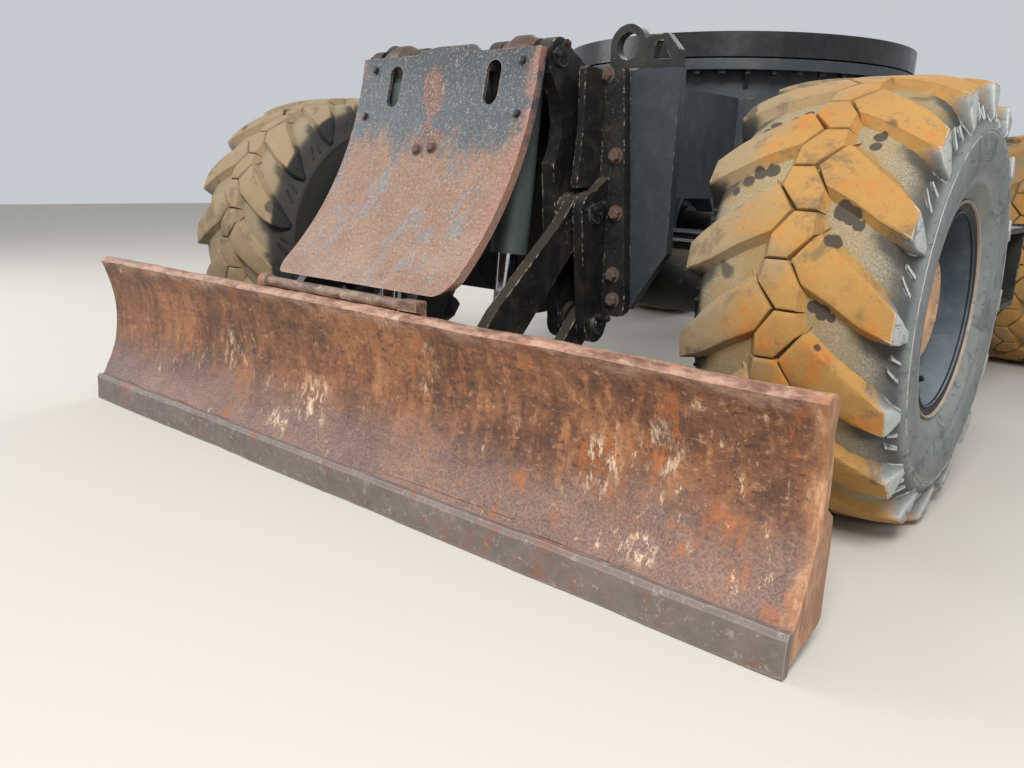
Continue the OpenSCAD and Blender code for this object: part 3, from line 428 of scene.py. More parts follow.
# Oil spots on the front right tyre: degrees up its front, millimetres from its middle, radius in mm
SPOTS = [
    (27, 88, 22), (26, 108, 20), (24, 125, 15), (19.5, 84, 20), (5, 70, 15), (4, 90, 18), (3, 108, 12),
    (-4.3, 88, 12), (48, 104, 16), (45, 103, 14), (41, 178, 16), (50, -150, 20), (53, -142, 16),
    (37, -92, 18), (36, -118, 17), (34, -140, 17), (31, -165, 16), (55, -100, 14), (58, -80, 12),
]
SPOT_R = 0.530
RING_PITCH = 0.0052  # between the fine rings moulded on the wall, in metres
# Where a look starts and where it is full: metres from the axle
RINGS_FROM = (0.335, 0.345)
RINGS_TO = (0.415, 0.405)
# Radius from which the painted shade between the lugs' ends starts and is full
RECESS_SHADE_FROM = (0.430, 0.452)
# The same, in metres to the right of the machine's middle
MUD_DULL = (1.34, 1.14)
GRIT_DULL = (0.3, -0.3)
# The same, in metres from the machine's middle on either side
OIL_OUT_TO = (1.28, 1.20)
# Painted shade on the tyres' inner sides: near-black on the wall inward from the first, dark on the tread
# inward from the second
INNER_SHADE_FROM = (0.91, 0.87)
INBOARD_SHADE_FROM = (0.845, 0.825)


def tread_mud(rubber, x, dull):
    """Ochre mud on the lugs, duller towards the machine's left and stained."""
    mud = rubber.mix(rubber.noise(6, 6, 0.62), "936c38", "b18749")
    mud = rubber.mix(rubber.patches(0.52, 0.66, 10, 7, 0.7), mud, "b26a26", 0.7)
    mud = rubber.mix(rubber.patches(0.54, 0.66, 23, 8, 0.78), mud, "876a42", 0.7)
    mud = rubber.mix(rubber.step(rubber.ragged(x, 0.60, 5, 5, 0.6), *MUD_DULL), mud, dull, 0.8)
    mud = rubber.mix(rubber.patches(0.53, 0.64, 7, 8, 0.74, bend=0.6), mud, "625540", 0.7)
    return rubber.mix(rubber.patches(0.59, 0.67, 70, 6, 0.78), mud, "51473a", 0.5)


def groove_floor(rubber, x, wide, dull):
    """Pale grit in the grooves, greyer towards the shoulders."""
    grit = rubber.mix(rubber.patches(0.42, 0.60, 260, 3, 0.6), "827459", "988869")
    speck = rubber.mix(rubber.patches(0.44, 0.58, 300, 2, 0.5), "716a5a", "928a78")
    ground = rubber.mix(rubber.step(wide, 0.50, 0.85), grit, speck)
    ground = rubber.mix(rubber.patches(0.44, 0.60, 8, 6), ground, "8b7144", 0.75)
    return rubber.mix(rubber.step(x, *GRIT_DULL), ground, dull, 0.75)


def oil_stained(rubber, x, face):
    """The tread with the oil spots of the front right tyre and a few more on the others."""
    spots = [(on_wheel(WHEEL_X, AXLES["front"], a, out / 1000, SPOT_R), r / 1000) for a, out, r in SPOTS]
    spot = rubber.step(rubber.ragged(rubber.near(spots), 0.6, 60, 5, 0.7), 1.36, 1.22)
    face = rubber.mix(spot, face, "34302c", 0.9)
    oil = rubber.patches(0.69, 0.72, 5.5, 2.5, 0.4, bend=0.3)
    on_tread = rubber.step(rubber.calc("ABSOLUTE", x), *OIL_OUT_TO)
    return rubber.mix(rubber.mul(oil, on_tread), face, "3b362f", 0.8)


def wall_grey(rubber, top, rad, ringed, inner_side_shade):
    """Weathered grey wall, with painted light on the lugs' raised ends, painted shade in the hollows
    between them and near-black painted shade on its inner side.
    """
    grey = rubber.mix(rubber.noise(14, 7, 0.72), "5a5f60", "8f9390")
    # Painted light: the raised ends of the lugs on the wall are lighter
    grey = rubber.mix(rubber.step(top, 0.55, 0.98), grey, "b3b6b2", 0.75)
    # Painted shade in the hollows between the lugs' ends
    painted_recess_shade = rubber.mul(rubber.step(top, 0.60, 0.0), rubber.step(rad, *RECESS_SHADE_FROM))
    grey = rubber.mix(painted_recess_shade, grey, "3c3f40", 0.85)
    crack_way = rubber.stretch((1.0, 0.35, 1.6))
    grey = rubber.mix(rubber.patches(0.58, 0.66, 45, 6, 0.75, vec=crack_way), grey, "3f4142", 0.85)
    grey = rubber.mix(rubber.patches(0.54, 0.62, 7, 7, 0.75, bend=0.6), grey, "434748", 0.6)
    grey = rubber.mix(rubber.patches(0.58, 0.72, 6, 6, 0.7), grey, "96876b", 0.5)
    grey = rubber.mix(ringed, grey, "4c4f50", 0.65)
    # Near-black painted shade over the wall on the tyre's inner side
    return rubber.mix(inner_side_shade, grey, "131312", 0.95)


def rubber_material():
    """Tyre rubber, from the attributes that tyre_mesh gives: top, side, wide, rad and under."""
    rubber = Shader("tyre_rubber", metallic=0.0, rough=0.85)
    top = rubber.attr("top")
    side = rubber.attr("side")
    wide = rubber.attr("wide")
    rad = rubber.attr("rad")
    x = rubber.axis(0)
    off_middle = rubber.calc("ABSOLUTE", x)
    dull = rubber.mix(rubber.noise(9, 7, 0.7), "7c6f58", "94866c")
    on_lug = rubber.step(top, -0.02, 0.32)
    face = rubber.mix(on_lug, groove_floor(rubber, x, wide, dull), tread_mud(rubber, x, dull))
    face = oil_stained(rubber, x, face)
    rings = rubber.step(rubber.calc("SINE", rubber.mul(rad, 2 * math.pi / RING_PITCH)), 0.55, 0.95)
    band = rubber.mul(rubber.step(rad, *RINGS_FROM), rubber.step(rad, *RINGS_TO))
    ringed = rubber.mul(rings, rubber.mul(band, side))
    inner_side_shade = rubber.step(rubber.ragged(off_middle, 0.04, 12), *INNER_SHADE_FROM)
    rubber.coat = rubber.mix(side, face, wall_grey(rubber, top, rad, ringed, inner_side_shade))
    # Painted shade on the tread's inner side, off the lugs' tops
    inboard_shade = rubber.step(off_middle, *INBOARD_SHADE_FROM)
    inboard_shade = rubber.mul(inboard_shade, rubber.step(top, 0.9, 0.4))
    rubber.lay(inboard_shade, "2c2a28", 0.85)
    # Painted shade under the lower end of each lug on the wall
    rubber.lay(rubber.step(rubber.attr("under"), 0.10, 0.80), "2b2a28", 0.8)
    # Painted highlight: pale lines on the sharp edges of the lug ends at the shoulders and wall, kept off
    # the inner side's painted shade
    rim = rubber.mul(rubber.edges(0.005), rubber.step(wide, 0.90, 0.97))
    pale = rubber.mul(rim, rubber.patches(0.38, 0.55, 30, 5))
    pale = rubber.mul(pale, rubber.calc("SUBTRACT", 1.0, inner_side_shade))
    rubber.lay(pale, "cfd0cb", 0.75)
    rubber.roughness(rubber.lerp(side, 0.9, 0.70))
    rubber.bump(rubber.ragged(rubber.mul(ringed, -1.6), 1.0, 150, 6, 0.7), 0.45, 0.0025)
    return rubber.done()


# Materials by slot

BLACK = paint("black_paint", "060708", "101214", "b3ac98", chips=0.42, rough=0.46, dust_and_light_share=0.14, lines=0.22)
CHASSIS = paint("chassis_paint", "272c31", "31373c", "7c7f7d", chips=0.22, rough=0.36, dust_and_light_share=0.14)
CYLINDER = paint("cylinder_paint", "3b4543", "505c59", "9a9384", chips=0.2, rough=0.36, dust_and_light_share=0.2,
                 rust_from=1.105)
RING = paint("ring_paint", "0b0c0e", "17181a", "5d5548", chips=0.12, rough=0.22, dust_and_light_share=0.10)
# The rim's pale blue-grey on upward faces is painted sky light on its lit lower barrel
RIM = paint("rim_paint", "3a444c", "525d66", "2e2924", chips=0.45, rough=0.36, dust_and_light_share=0.35, dust_and_sky_light="98a3aa")

MATERIALS = {
    "blade_steel": blade_material(),
    "edge_steel": edge_material(),
    "guard_steel": guard_material(),
    "black_paint": BLACK,
    "chassis_grey": CHASSIS,
    "cylinder_grey": CYLINDER,
    "ring_steel": RING,
    "rim_paint": RIM,
    "hub_rust": rust_material("hub_rust", "a9774f", "d0b294", "6a4027"),
    "pin_steel": metal_material("pin_steel", "6f7072", "9a9b9c", 0.35, 0.85, "3a2c22", 0.7),
    "chrome_rod": metal_material("rod_chrome", "c8ccd0", "e0e3e6", 0.12, 1.0, "6a6660", 0.25),
    "tyre_rubber": rubber_material(),
}
BOLT_RUST = rust_material("bolt_rust", "3f3029", "6b5648", "1f1814")
BOLT_DARK = metal_material("bolt_dark", "2a2c2e", "45484b", 0.4, 0.7, "5b3f2c", 0.6)
LIP_RUST = rust_material("rim_lip_rust", "83705f", "b5aa9c", "54402f")
# Black of the valves, and the painted shade of the ring in each rim's gap
BLACK_AND_GAP_SHADE = metal_material("black_and_gap_shade", "0c0c0d", "151515", 0.6, 0.0, "221d18", 0.4)

for part in frame["record"]["subparts"]:
    NODES[part["node"]].data.materials.clear()
    NODES[part["node"]].data.materials.append(MATERIALS[part["material_slot"]])

# Building pieces


def finish_mesh(bm, name, material, body, sharp=35.0):
    """Turns a bmesh into a piece, smooth but for edges sharper than the angle."""
    bmesh.ops.recalc_face_normals(bm, faces=bm.faces)
    limit = math.radians(sharp)
    for edge in bm.edges:
        edge.smooth = len(edge.link_faces) == 2 and edge.calc_face_angle(0.0) < limit
    for face in bm.faces:
        face.smooth = True
    mesh = bpy.data.meshes.new(name)
    bm.to_mesh(mesh)
    bm.free()
    obj = bpy.data.objects.new(name, mesh)
    bpy.context.scene.collection.objects.link(obj)
    mesh.materials.append(material)
    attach(obj, body)
    return obj


def turn_to(axis):
    """Rotation that takes +Z to the axis."""
    return UP.rotation_difference(Vector(axis).normalized()).to_matrix().to_4x4()


def add_cyl(bm, pos, axis, r, h, sides, end_r=None, spin=0.0):
    """Closed cylinder from pos along the axis, or a cone to the radius at its end."""
    stand = turn_to(axis) @ Matrix.Rotation(spin, 4, "Z") @ Matrix.Translation((0, 0, h / 2))
    place = Matrix.Translation(pos) @ stand
    top = r if end_r is None else end_r
    bmesh.ops.create_cone(bm, cap_ends=True, segments=sides, radius1=r, radius2=top, depth=h, matrix=place)


def add_box(bm, centre, size, turn=None):
    place = Matrix.Translation(centre) @ (turn or Matrix.Identity(4)) @ Matrix.Diagonal((*size, 1))
    bmesh.ops.create_cube(bm, size=1.0, matrix=place)


# Sizes of a bolt, as shares of its head's radius over the corners
WASHER_R = 1.3
WASHER_T = 0.18
HEAD_H = 0.75
CHAMFER_FOOT_R = 0.98
CHAMFER_R = 0.78
CHAMFER_H = 0.2  # as a share of the head's height


def add_bolt(bm, pos, axis, r, h=None, spin=0.0):
    """Hexagon head with a chamfered top, on a washer; r is the radius over its corners."""
    h = h or r * HEAD_H
    up = Vector(axis).normalized()
    washer = Vector(pos)
    add_cyl(bm, washer, up, r * WASHER_R, r * WASHER_T, 20)
    head = washer + up * r * WASHER_T
    flats = h * (1 - CHAMFER_H)
    add_cyl(bm, head, up, r, flats, 6, spin=spin)
    foot_r = r * CHAMFER_FOOT_R
    add_cyl(bm, head + up * flats, up, foot_r, h * CHAMFER_H, 6, end_r=r * CHAMFER_R, spin=spin)


def bolts(name, places, r, body, material, h=None):
    """One piece of bolts at (place, axis) pairs, each turned its own way."""
    bm = bmesh.new()
    for i, (place, axis) in enumerate(places):
        add_bolt(bm, place, axis, r, h, spin=0.7 * i)
    return finish_mesh(bm, name, material, body)


def lathe(bm, centre, profile, side=1, sides=96):
    """Open skin of (out, radius) points turned about the wheel's axis."""
    rows = []
    for out, r in profile:
        ring = [centre + Vector((side * out, -r * math.cos(t), r * math.sin(t))) for t in turns(sides)]
        rows.append([bm.verts.new(place) for place in ring])
    for a, b in zip(rows, rows[1:]):
        for k in range(sides):
            bm.faces.new((a[k], a[(k + 1) % sides], b[(k + 1) % sides], b[k]))
    return rows


# Tyres

PITCHES = 16
DEPTH = 0.022
SHOULDER = 0.230
CROWN = 0.020  # how much smaller the radius is at the shoulder
TYRE_SIDES = 144
# Slopes of the blocks' sides, in metres from foot to top
SIPE = 0.0015
GROOVE = 0.015
# Block corners: degrees up round the wheel, millimetres out over the tread and on down the wall, and the
# slope of the side that starts there
LUG = [
    (0, 13, SIPE), (5.2, 50, GROOVE), (6.1, 62, GROOVE), (0.7, 124, GROOVE), (-4.3, 186, GROOVE),
    (-8.5, 230, 0.006), (-10.6, 266, 0.004), (-14.2, 304, 0.003), (-16.2, 304, 0.003), (-16.6, 266, 0.006),
    (-15.9, 230, GROOVE), (-12.7, 166, GROOVE), (-8.8, 107, GROOVE), (-5.3, 43, SIPE),
]
HEX = [
    (0.2, -41, SIPE), (0.2, 2, SIPE), (5.8, 49, GROOVE), (10.9, 43, SIPE), (11.0, -6, SIPE),
    (5.4, -42, GROOVE),
]
# Low ribs on the wall between the lugs' ends, in the same columns
CHEVRON = [(-1.0, 246, 0.001), (-0.2, 246, 0.001), (-4.2, 292, 0.001), (-5.2, 292, 0.001)]
ARC = [(2.0, 258, 0.001), (2.7, 258, 0.001), (0.6, 296, 0.001), (-0.2, 296, 0.001)]
RIB_H = 0.006
# Metres along the skin from the tyre's middle, then metres out and radius, on top of the lugs and between
TOP_WALL = [
    (0.230, 0.2300, 0.526), (0.236, 0.2328, 0.519), (0.266, 0.2375, 0.489), (0.304, 0.2430, 0.452),
    (0.320, 0.2440, 0.440),
]
FLOOR_WALL = [
    (0.160, 0.1600, 0.5190), (0.185, 0.1820, 0.5110), (0.205, 0.1965, 0.5010), (0.230, 0.2085, 0.4840),
    (0.266, 0.2200, 0.4640), (0.304, 0.2350, 0.4420), (0.320, 0.2425, 0.4330),
]
# Places along the skin, in millimetres, where the carcass has a ring of corners
CARCASS = (0, 50, 100, 130, 160, 173, 185, 205, 230, 266, 304, 320)
# Wall below the lugs down to the bead: metres out, radius
WALL = [
    (0.2440, 0.4260), (0.2442, 0.4240), (0.2415, 0.4230), (0.2415, 0.4205), (0.2443, 0.4195),
    (0.2450, 0.4000), (0.2450, 0.3850), (0.2440, 0.3680), (0.2415, 0.3500), (0.2375, 0.3330),
    (0.2335, 0.3200), (0.2345, 0.3130), (0.2330, 0.3040), (0.2270, 0.2970), (0.2210, 0.2860),
    (0.2130, 0.2740), (0.2085, 0.2665), (0.1960, 0.2665), (0.1960, 0.2490),
]
# Lower edge of a lug: metres out, degrees up round the wheel
LUG_FOOT = [(0.043, -5.3), (0.107, -8.8), (0.166, -12.7), (0.215, -15.9), (0.245, -16.6)]
# Where the shade under a lug starts and where it is full: metres out, radius, and degrees below its edge
SHADE_OUT = (0.135, 0.180)
SHADE_R = (0.440, 0.465)
SHADE_BELOW = (7.0, 3.2)
# Where the tread's look passes into the wall's: radius, and metres out
WALL_LOOK_R = (0.5255, 0.5195)
WALL_LOOK_OUT = (0.190, 0.215)
SLICE_ANGLE = 3.0
# How far each tyre has rolled, in degrees from a right-hand lug's tip at the front
SPIN = {"front_right": 14.7, "front_left": 3.0, "rear_right": 8.0, "rear_left": 17.0}


def tread_radius(across):
    return TYRE_R - CROWN * (abs(across) / SHOULDER) ** 4


def along(points, length):
    """The (out, radius) place at a length along a list of (length, out, radius)."""
    if length <= points[0][0]:
        return Vector(points[0][1:])
    for a, b in zip(points, points[1:]):
        if length <= b[0]:
            share = (length - a[0]) / (b[0] - a[0])
            return Vector(a[1:]).lerp(Vector(b[1:]), share)
    return Vector(points[-1][1:])


def top_at(length):
    """The (out, radius) place on top of the lugs."""
    return Vector((length, tread_radius(length))) if length <= SHOULDER else along(TOP_WALL, length)


def floor_at(length):
    """The (out, radius) place on the carcass between the lugs."""
    if length <= FLOOR_WALL[0][0]:
        return Vector((length, tread_radius(length) - DEPTH))
    return along(FLOOR_WALL, length)


def inset(outline, slopes, scale, extra=0.0):
    """The outline moved inward, each side by its slope times scale plus extra."""
    out = []
    count = len(outline)
    for i in range(count):
        here = outline[i]
        come = (here - outline[i - 1]).normalized()
        leave = (outline[(i + 1) % count] - here).normalized()
        n1 = Vector((-come.y, come.x))
        n2 = Vector((-leave.y, leave.x))
        d1 = slopes[i - 1] * scale + extra
        d2 = slopes[i] * scale + extra
        cross = n1.x * n2.y - n1.y * n2.x
        if abs(cross) < 0.15:
            out.append(here + n2 * ((d1 + d2) / 2))
        else:
            out.append(here + Vector((d1 * n2.y - d2 * n1.y, n1.x * d2 - n2.x * d1)) / cross)
    return out


def block(bm, corners, turn, flip, layer, height=DEPTH, round_off=0.0045):
    """One tread block in flat lengths (round, across, height), bent later onto the tyre."""
    per_degree = TYRE_R * math.pi / 180
    flat = [Vector(((a + turn) * per_degree, (-w if flip else w) / 1000)) for a, w, _ in corners]
    slopes = [slope for _, _, slope in corners]
    count = len(flat)
    nexts = flat[1:] + flat[:1]
    area = sum(a.x * b.y - b.x * a.y for a, b in zip(flat, nexts))
    if area < 0:
        flat.reverse()
        slopes = slopes[-2::-1] + slopes[-1:]
    rings = [
        (inset(flat, slopes, -1.3), -height * 0.3),
        (inset(flat, slopes, 0.0), height - round_off),
        (inset(flat, slopes, 0.0, round_off * 0.3), height - round_off * 0.35),
        (inset(flat, slopes, 0.0, round_off), height),
    ]
    rows = [[bm.verts.new((p.x, p.y, h)) for p in ring] for ring, h in rings]
    for a, b in zip(rows, rows[1:]):
        for i in range(count):
            bm.faces.new((a[i], a[(i + 1) % count], b[(i + 1) % count], b[i]))
    bm.faces.new(rows[-1])
    for row in rows:
        for vert in row:
            vert[layer] = ramp(vert.co.z, 0.0, height)


def slice_flat(bm):
    """Cuts the flat blocks so that they bend smoothly round the wheel and over the shoulder."""
    step = TYRE_R * math.radians(SLICE_ANGLE)
    cuts = [((i * step, 0, 0), (1, 0, 0)) for i in range(-7, 10)]
    across = [0.03 * i for i in range(8)] + [SHOULDER, 0.236, 0.266, 0.285]
    cuts += [((0, s * w, 0), (0, 1, 0)) for w in across for s in (1, -1)]
    for place, normal in cuts:
        geom = bm.verts[:] + bm.edges[:] + bm.faces[:]
        bmesh.ops.bisect_plane(bm, geom=geom, plane_co=place, plane_no=normal, dist=1e-6)


def bend_mesh(bm):
    """From flat (round, across, height) to the wheel, whose axis is X."""
    for vert in bm.verts:
        a, w, h = vert.co
        place = floor_at(abs(w)).lerp(top_at(abs(w)), h / DEPTH)
        turn = a / TYRE_R
        vert.co = (math.copysign(place.x, w), -place.y * math.cos(turn), place.y * math.sin(turn))


def shade_under(x, r, degrees):
    """How deep in a lug's shade a place on the carcass lies, from 0 to 1."""
    turn = 0.0 if x > 0 else 180 / PITCHES
    across = abs(x)
    foot = LUG_FOOT[0][1]
    for a, b in zip(LUG_FOOT, LUG_FOOT[1:]):
        if across >= a[0]:
            foot = a[1] + (b[1] - a[1]) * min(1.0, (across - a[0]) / (b[0] - a[0]))
    below = (foot - (degrees - turn)) % (360 / PITCHES)
    reach = ramp(across, *SHADE_OUT) * ramp(r, *SHADE_R)
    return reach * ramp(below, *SHADE_BELOW)


def tread_pitch():
    """Mesh of one pitch of the tread: lug, rib block and the wall's low ribs on both sides."""
    bm = bmesh.new()
    layer = bm.verts.layers.float.new("top")
    for flip in (False, True):
        turn = 180 / PITCHES if flip else 0.0
        block(bm, LUG, turn, flip, layer)
        block(bm, HEX, turn, flip, layer)
        for line in (CHEVRON, ARC):
            block(bm, line, turn, flip, layer, height=RIB_H, round_off=0.001)
    slice_flat(bm)
    bend_mesh(bm)
    bmesh.ops.triangulate(bm, faces=[face for face in bm.faces if len(face.verts) > 4])
    mesh = bpy.data.meshes.new("pitch")
    bm.to_mesh(mesh)
    bm.free()
    return mesh


def add_carcass(bm):
    """Adds the tyre's skin under the lugs as one closed ring."""
    half = [tuple(floor_at(w / 1000)) for w in CARCASS] + WALL
    profile = [(-out, r) for out, r in reversed(half[1:])] + half
    rows = lathe(bm, Vector((0, 0, 0)), profile, sides=TYRE_SIDES)
    for k in range(TYRE_SIDES):
        after = (k + 1) % TYRE_SIDES
        bm.faces.new((rows[-1][k], rows[-1][after], rows[0][after], rows[0][k]))


def tyre_mesh():
    """The tyre about the origin, its axis along X, with the attributes that its rubber reads."""
    pitch = tread_pitch()
    bm = bmesh.new()
    bm.verts.layers.float.new("top")
    for i in range(PITCHES):
        copy = pitch.copy()
        copy.transform(Matrix.Rotation(-i * 2 * math.pi / PITCHES, 4, "X"))
        bm.from_mesh(copy)
        bpy.data.meshes.remove(copy)
    first = len(bm.verts)
    add_carcass(bm)
    bm.verts.ensure_lookup_table()
    side = bm.verts.layers.float.new("side")
    wide = bm.verts.layers.float.new("wide")
    rad = bm.verts.layers.float.new("rad")
    under = bm.verts.layers.float.new("under")
    for vert in bm.verts:
        r = math.hypot(vert.co.y, vert.co.z)
        x = abs(vert.co.x)
        vert[side] = ramp(r, *WALL_LOOK_R) * ramp(x, *WALL_LOOK_OUT)
        vert[wide] = min(1.0, x / SHOULDER)
        vert[rad] = r
    # Painted shade under each lug's end, stored on the carcass's corners
    for vert in bm.verts[first:]:
        degrees = math.degrees(math.atan2(vert.co.z, -vert.co.y))
        vert[under] = shade_under(vert.co.x, math.hypot(vert.co.y, vert.co.z), degrees)
    return bm


def make_tyres():
    base = tyre_mesh()
    mesh = bpy.data.meshes.new("tyre_base")
    base.to_mesh(mesh)
    base.free()
    for end, y in AXLES.items():
        for side, s in SIDES.items():
            bm = bmesh.new()
            bm.from_mesh(mesh)
            centre = on_wheel(s * WHEEL_X, y, 0, 0, 0)
            roll = Matrix.Rotation(-math.radians(SPIN[f"{end}_{side}"]), 4, "X")
            bm.transform(Matrix.Translation(centre) @ roll)
            rubber = MATERIALS["tyre_rubber"]
            piece = finish_mesh(bm, f"tread_{end}_{side}", rubber, f"wheel_{end}_{side}", 34)
            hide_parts(f"tyre_{end}_{side}")


make_tyres()

# Wheels: rim lip, lock ring's gap, wheel nuts, plugs and valve, in metres out from the tyre's middle

RIM_EDGE = 0.208
HUB_FACE = 0.158
DISC_FACE = 0.096
# Sections as metres out from the rim's edge, and radius
LIP_SECTION = [(-0.002, 0.2650), (0.005, 0.2655), (0.008, 0.2630), (0.006, 0.2595), (-0.002, 0.2585)]
# Section of the black ring that paints the shade in the lock ring's gap
GAP_SECTION = [
    (0.0, 0.2590), (0.0008, 0.2588), (0.0008, 0.2440), (0.003, 0.2435), (0.003, 0.2385), (-0.006, 0.2340),
    (-0.010, 0.2355),
]
NUTS = 10
NUT_CIRCLE_R = 0.153
NUT_START = 9
PLUG_ANGLES = (22.5, 202.5)
PLUG_CIRCLE_R = 0.088
VALVE_FOOT = (0.03, -0.212)  # metres back and up from the axle
# Parts of the valve: metres out and up from its foot, upward lean, radius, length, number of sides
VALVE_PARTS = [
    (0.0, 0.0, 0.0, 0.011, 0.012, 16), (0.010, 0.0, 0.5, 0.006, 0.060, 14),
    (0.058, 0.024, 0.5, 0.0075, 0.020, 14),
]


def rim_ring(name, centre, side, section, material, body):
    bm = bmesh.new()
    lathe(bm, centre, [(RIM_EDGE + out, r) for out, r in section], side)
    finish_mesh(bm, name, material, body)


def make_valve(name, centre, side, body):
    bm = bmesh.new()
    foot = centre + Vector((side * DISC_FACE, *VALVE_FOOT))
    out = Vector((side, 0, 0))
    for over, up, lean, r, length, sides in VALVE_PARTS:
        add_cyl(bm, foot + out * over + UP * up, out + UP * lean, r, length, sides)
    finish_mesh(bm, name, BLACK_AND_GAP_SHADE, body)


def make_wheels():
    for end, y in AXLES.items():
        for side, s in SIDES.items():
            wheel = f"{end}_{side}"
            body = f"wheel_{wheel}"
            x = s * WHEEL_X
            centre = on_wheel(x, y, 0, 0, 0)
            out = Vector((s, 0, 0))
            rim_ring(f"rim_lip_{wheel}", centre, s, LIP_SECTION, LIP_RUST, body)
            # The lock ring's gap is a black ring: painted shade in the undercut between the rim's lip and
            # its barrel
            rim_ring(f"rim_gap_{wheel}", centre, s, GAP_SECTION, BLACK_AND_GAP_SHADE, body)
            nut_angles = [360 / NUTS * i + NUT_START for i in range(NUTS)]
            nuts = [(on_wheel(x, y, a, s * DISC_FACE, NUT_CIRCLE_R), out) for a in nut_angles]
            bolts(f"wheel_nuts_{wheel}", nuts, 0.0135, body, BOLT_RUST, h=0.016)
            plugs = [(on_wheel(x, y, a, s * HUB_FACE, PLUG_CIRCLE_R), out) for a in PLUG_ANGLES]
            bolts(f"hub_plugs_{wheel}", plugs, 0.011, body, MATERIALS["hub_rust"], h=0.006)
            make_valve(f"valve_{wheel}", centre, s, body)


make_wheels()

# Blade skin with dents, and the chewed cutting edge

FRONT_KEPT = 0.008  # depth behind the front line within which nothing is pushed forward
PUSH_OUT = 0.004  # the most that anything behind it is pushed forward
# Dents of three kinds: depth in metres, how close they stand across and up, and a start of their own
DENTS = [(0.008, 2.6, 5.0, 0.3), (0.0045, 9.0, 12.0, 4.1), (0.0018, 24.0, 26.0, 7.7)]
# Waves of the upper edge: height in metres, how close they stand, and a start of their own
LIP_WAVES = [(0.004, 5.0, 9.2), (0.002, 16.0, 3.3)]
LIP_SWAY = [(0.006, 7.0, 1.2)]
LIP_DROP = 0.004


def dent(place):
    """How far a place on the blade's front is pushed back, in metres."""
    push = 0.0
    for depth, across, up, start in DENTS:
        push += depth * noise.noise(Vector((place.x * across, start, place.z * up)))
    return push


def wave(x, waves):
    """Height in metres of the waves along the blade's upper edge."""
    return sum(height * noise.noise(Vector((x * close, start, 0.0))) for height, close, start in waves)


def cut_small(bm, lo, hi, axis, count):
    """Cuts a mesh into that many slices along an axis."""
    normal = Vector([1.0 if i == axis else 0.0 for i in range(3)])
    for i in range(1, count):
        place = Vector(lo) + normal * ((hi[axis] - lo[axis]) * i / count)
        geom = bm.verts[:] + bm.edges[:] + bm.faces[:]
        bmesh.ops.bisect_plane(bm, geom=geom, plane_co=place, plane_no=normal, dist=1e-6)


def dented(node, slot, across, up, back, lip):
    """A CAD plate cut into small faces and pushed in and out, down to a depth back behind its front.

    across and up are the numbers of slices, and lip the height of the upper edge that also waves.
    """
    source = NODES[node]
    bm = bmesh.new()
    bm.from_mesh(source.data)
    bm.transform(source.matrix_world)
    bmesh.ops.remove_doubles(bm, verts=bm.verts, dist=1e-5)
    lo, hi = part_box(node)
    cut_small(bm, lo, hi, 0, across)
    cut_small(bm, lo, hi, 2, up)
    bmesh.ops.triangulate(bm, faces=bm.faces)
    for vert in bm.verts:
        depth = vert.co.y - lo[1]
        weight = ramp(depth, back, 0.6 * back)
        if weight:
            least = -PUSH_OUT if depth > FRONT_KEPT else 0.0
            vert.co.y += weight * max(dent(vert.co), least)
            rise = ramp(vert.co.z, hi[2] - lip, hi[2]) if lip else 0.0
            vert.co.z -= rise * (LIP_DROP + wave(vert.co.x, LIP_WAVES))
            vert.co.y += rise * wave(vert.co.x, LIP_SWAY)
    piece = finish_mesh(bm, f"{node}_dented", MATERIALS[slot], "blade", 28)
    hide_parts(node)


dented("mouldboard", "blade_steel", across=170, up=30, back=0.115, lip=0.06)
dented("cutting_edge", "edge_steel", across=110, up=4, back=0.024, lip=0.0)

# Bolts of the bracket and the guard plate: millimetres across and up

FLANGE_FACE_Y = 645
FLANGE_BOLTS = [(408, 1093), (448, 889), (459, 740), (461, 575), (466, 507)]
GUARD_CENTRE = (-453, 1263)
GUARD_R = 914
GUARD_SIDE_BOLTS = [(278, 1113), (291, 982)]
GUARD_MID_BOLTS = [(-32, 888), (23, 894)]


def on_guard(x, z):
    """A place on the guard plate's front face and the way that it faces there."""
    y = GUARD_CENTRE[0] + math.sqrt(GUARD_R**2 - (z - GUARD_CENTRE[1]) ** 2)
    inward = Vector((0, GUARD_CENTRE[0] - y, GUARD_CENTRE[1] - z)).normalized()
    return at(x, y, z), inward


bracket_places = [(at(s * x, FLANGE_FACE_Y, z), FORWARD) for s in (-1, 1) for x, z in FLANGE_BOLTS]
guard_side_places = [on_guard(s * x, z) for s in (-1, 1) for x, z in GUARD_SIDE_BOLTS]
guard_mid_places = [on_guard(x, z) for x, z in GUARD_MID_BOLTS]
bolts("bracket_bolts", bracket_places, 0.0165, "root", BOLT_RUST, h=0.015)
bolts("guard_side_bolts", guard_side_places, 0.0095, "root", BOLT_DARK, h=0.005)
bolts("guard_mid_bolts", guard_mid_places, 0.0125, "root", BOLT_RUST, h=0.010)

# Keepers of the linkage's pins

# By body: millimetres across, behind the edge and up, and the keeper's lean in degrees
PINS = {
    "root": [(442, 585, 739, 20), (442, 622, 438, -15), (350, 526, 1128, 40)],
    "blade": [(438, 190, 383, 30), (438, 227, 82, 30)],
}
PIN_R = 0.026
KEEPER_SIZE = (0.008, 0.062, 0.016)
KEEPER_UP = 0.78  # share of the pin's radius
KEEPER_BOLT_Y = 0.022


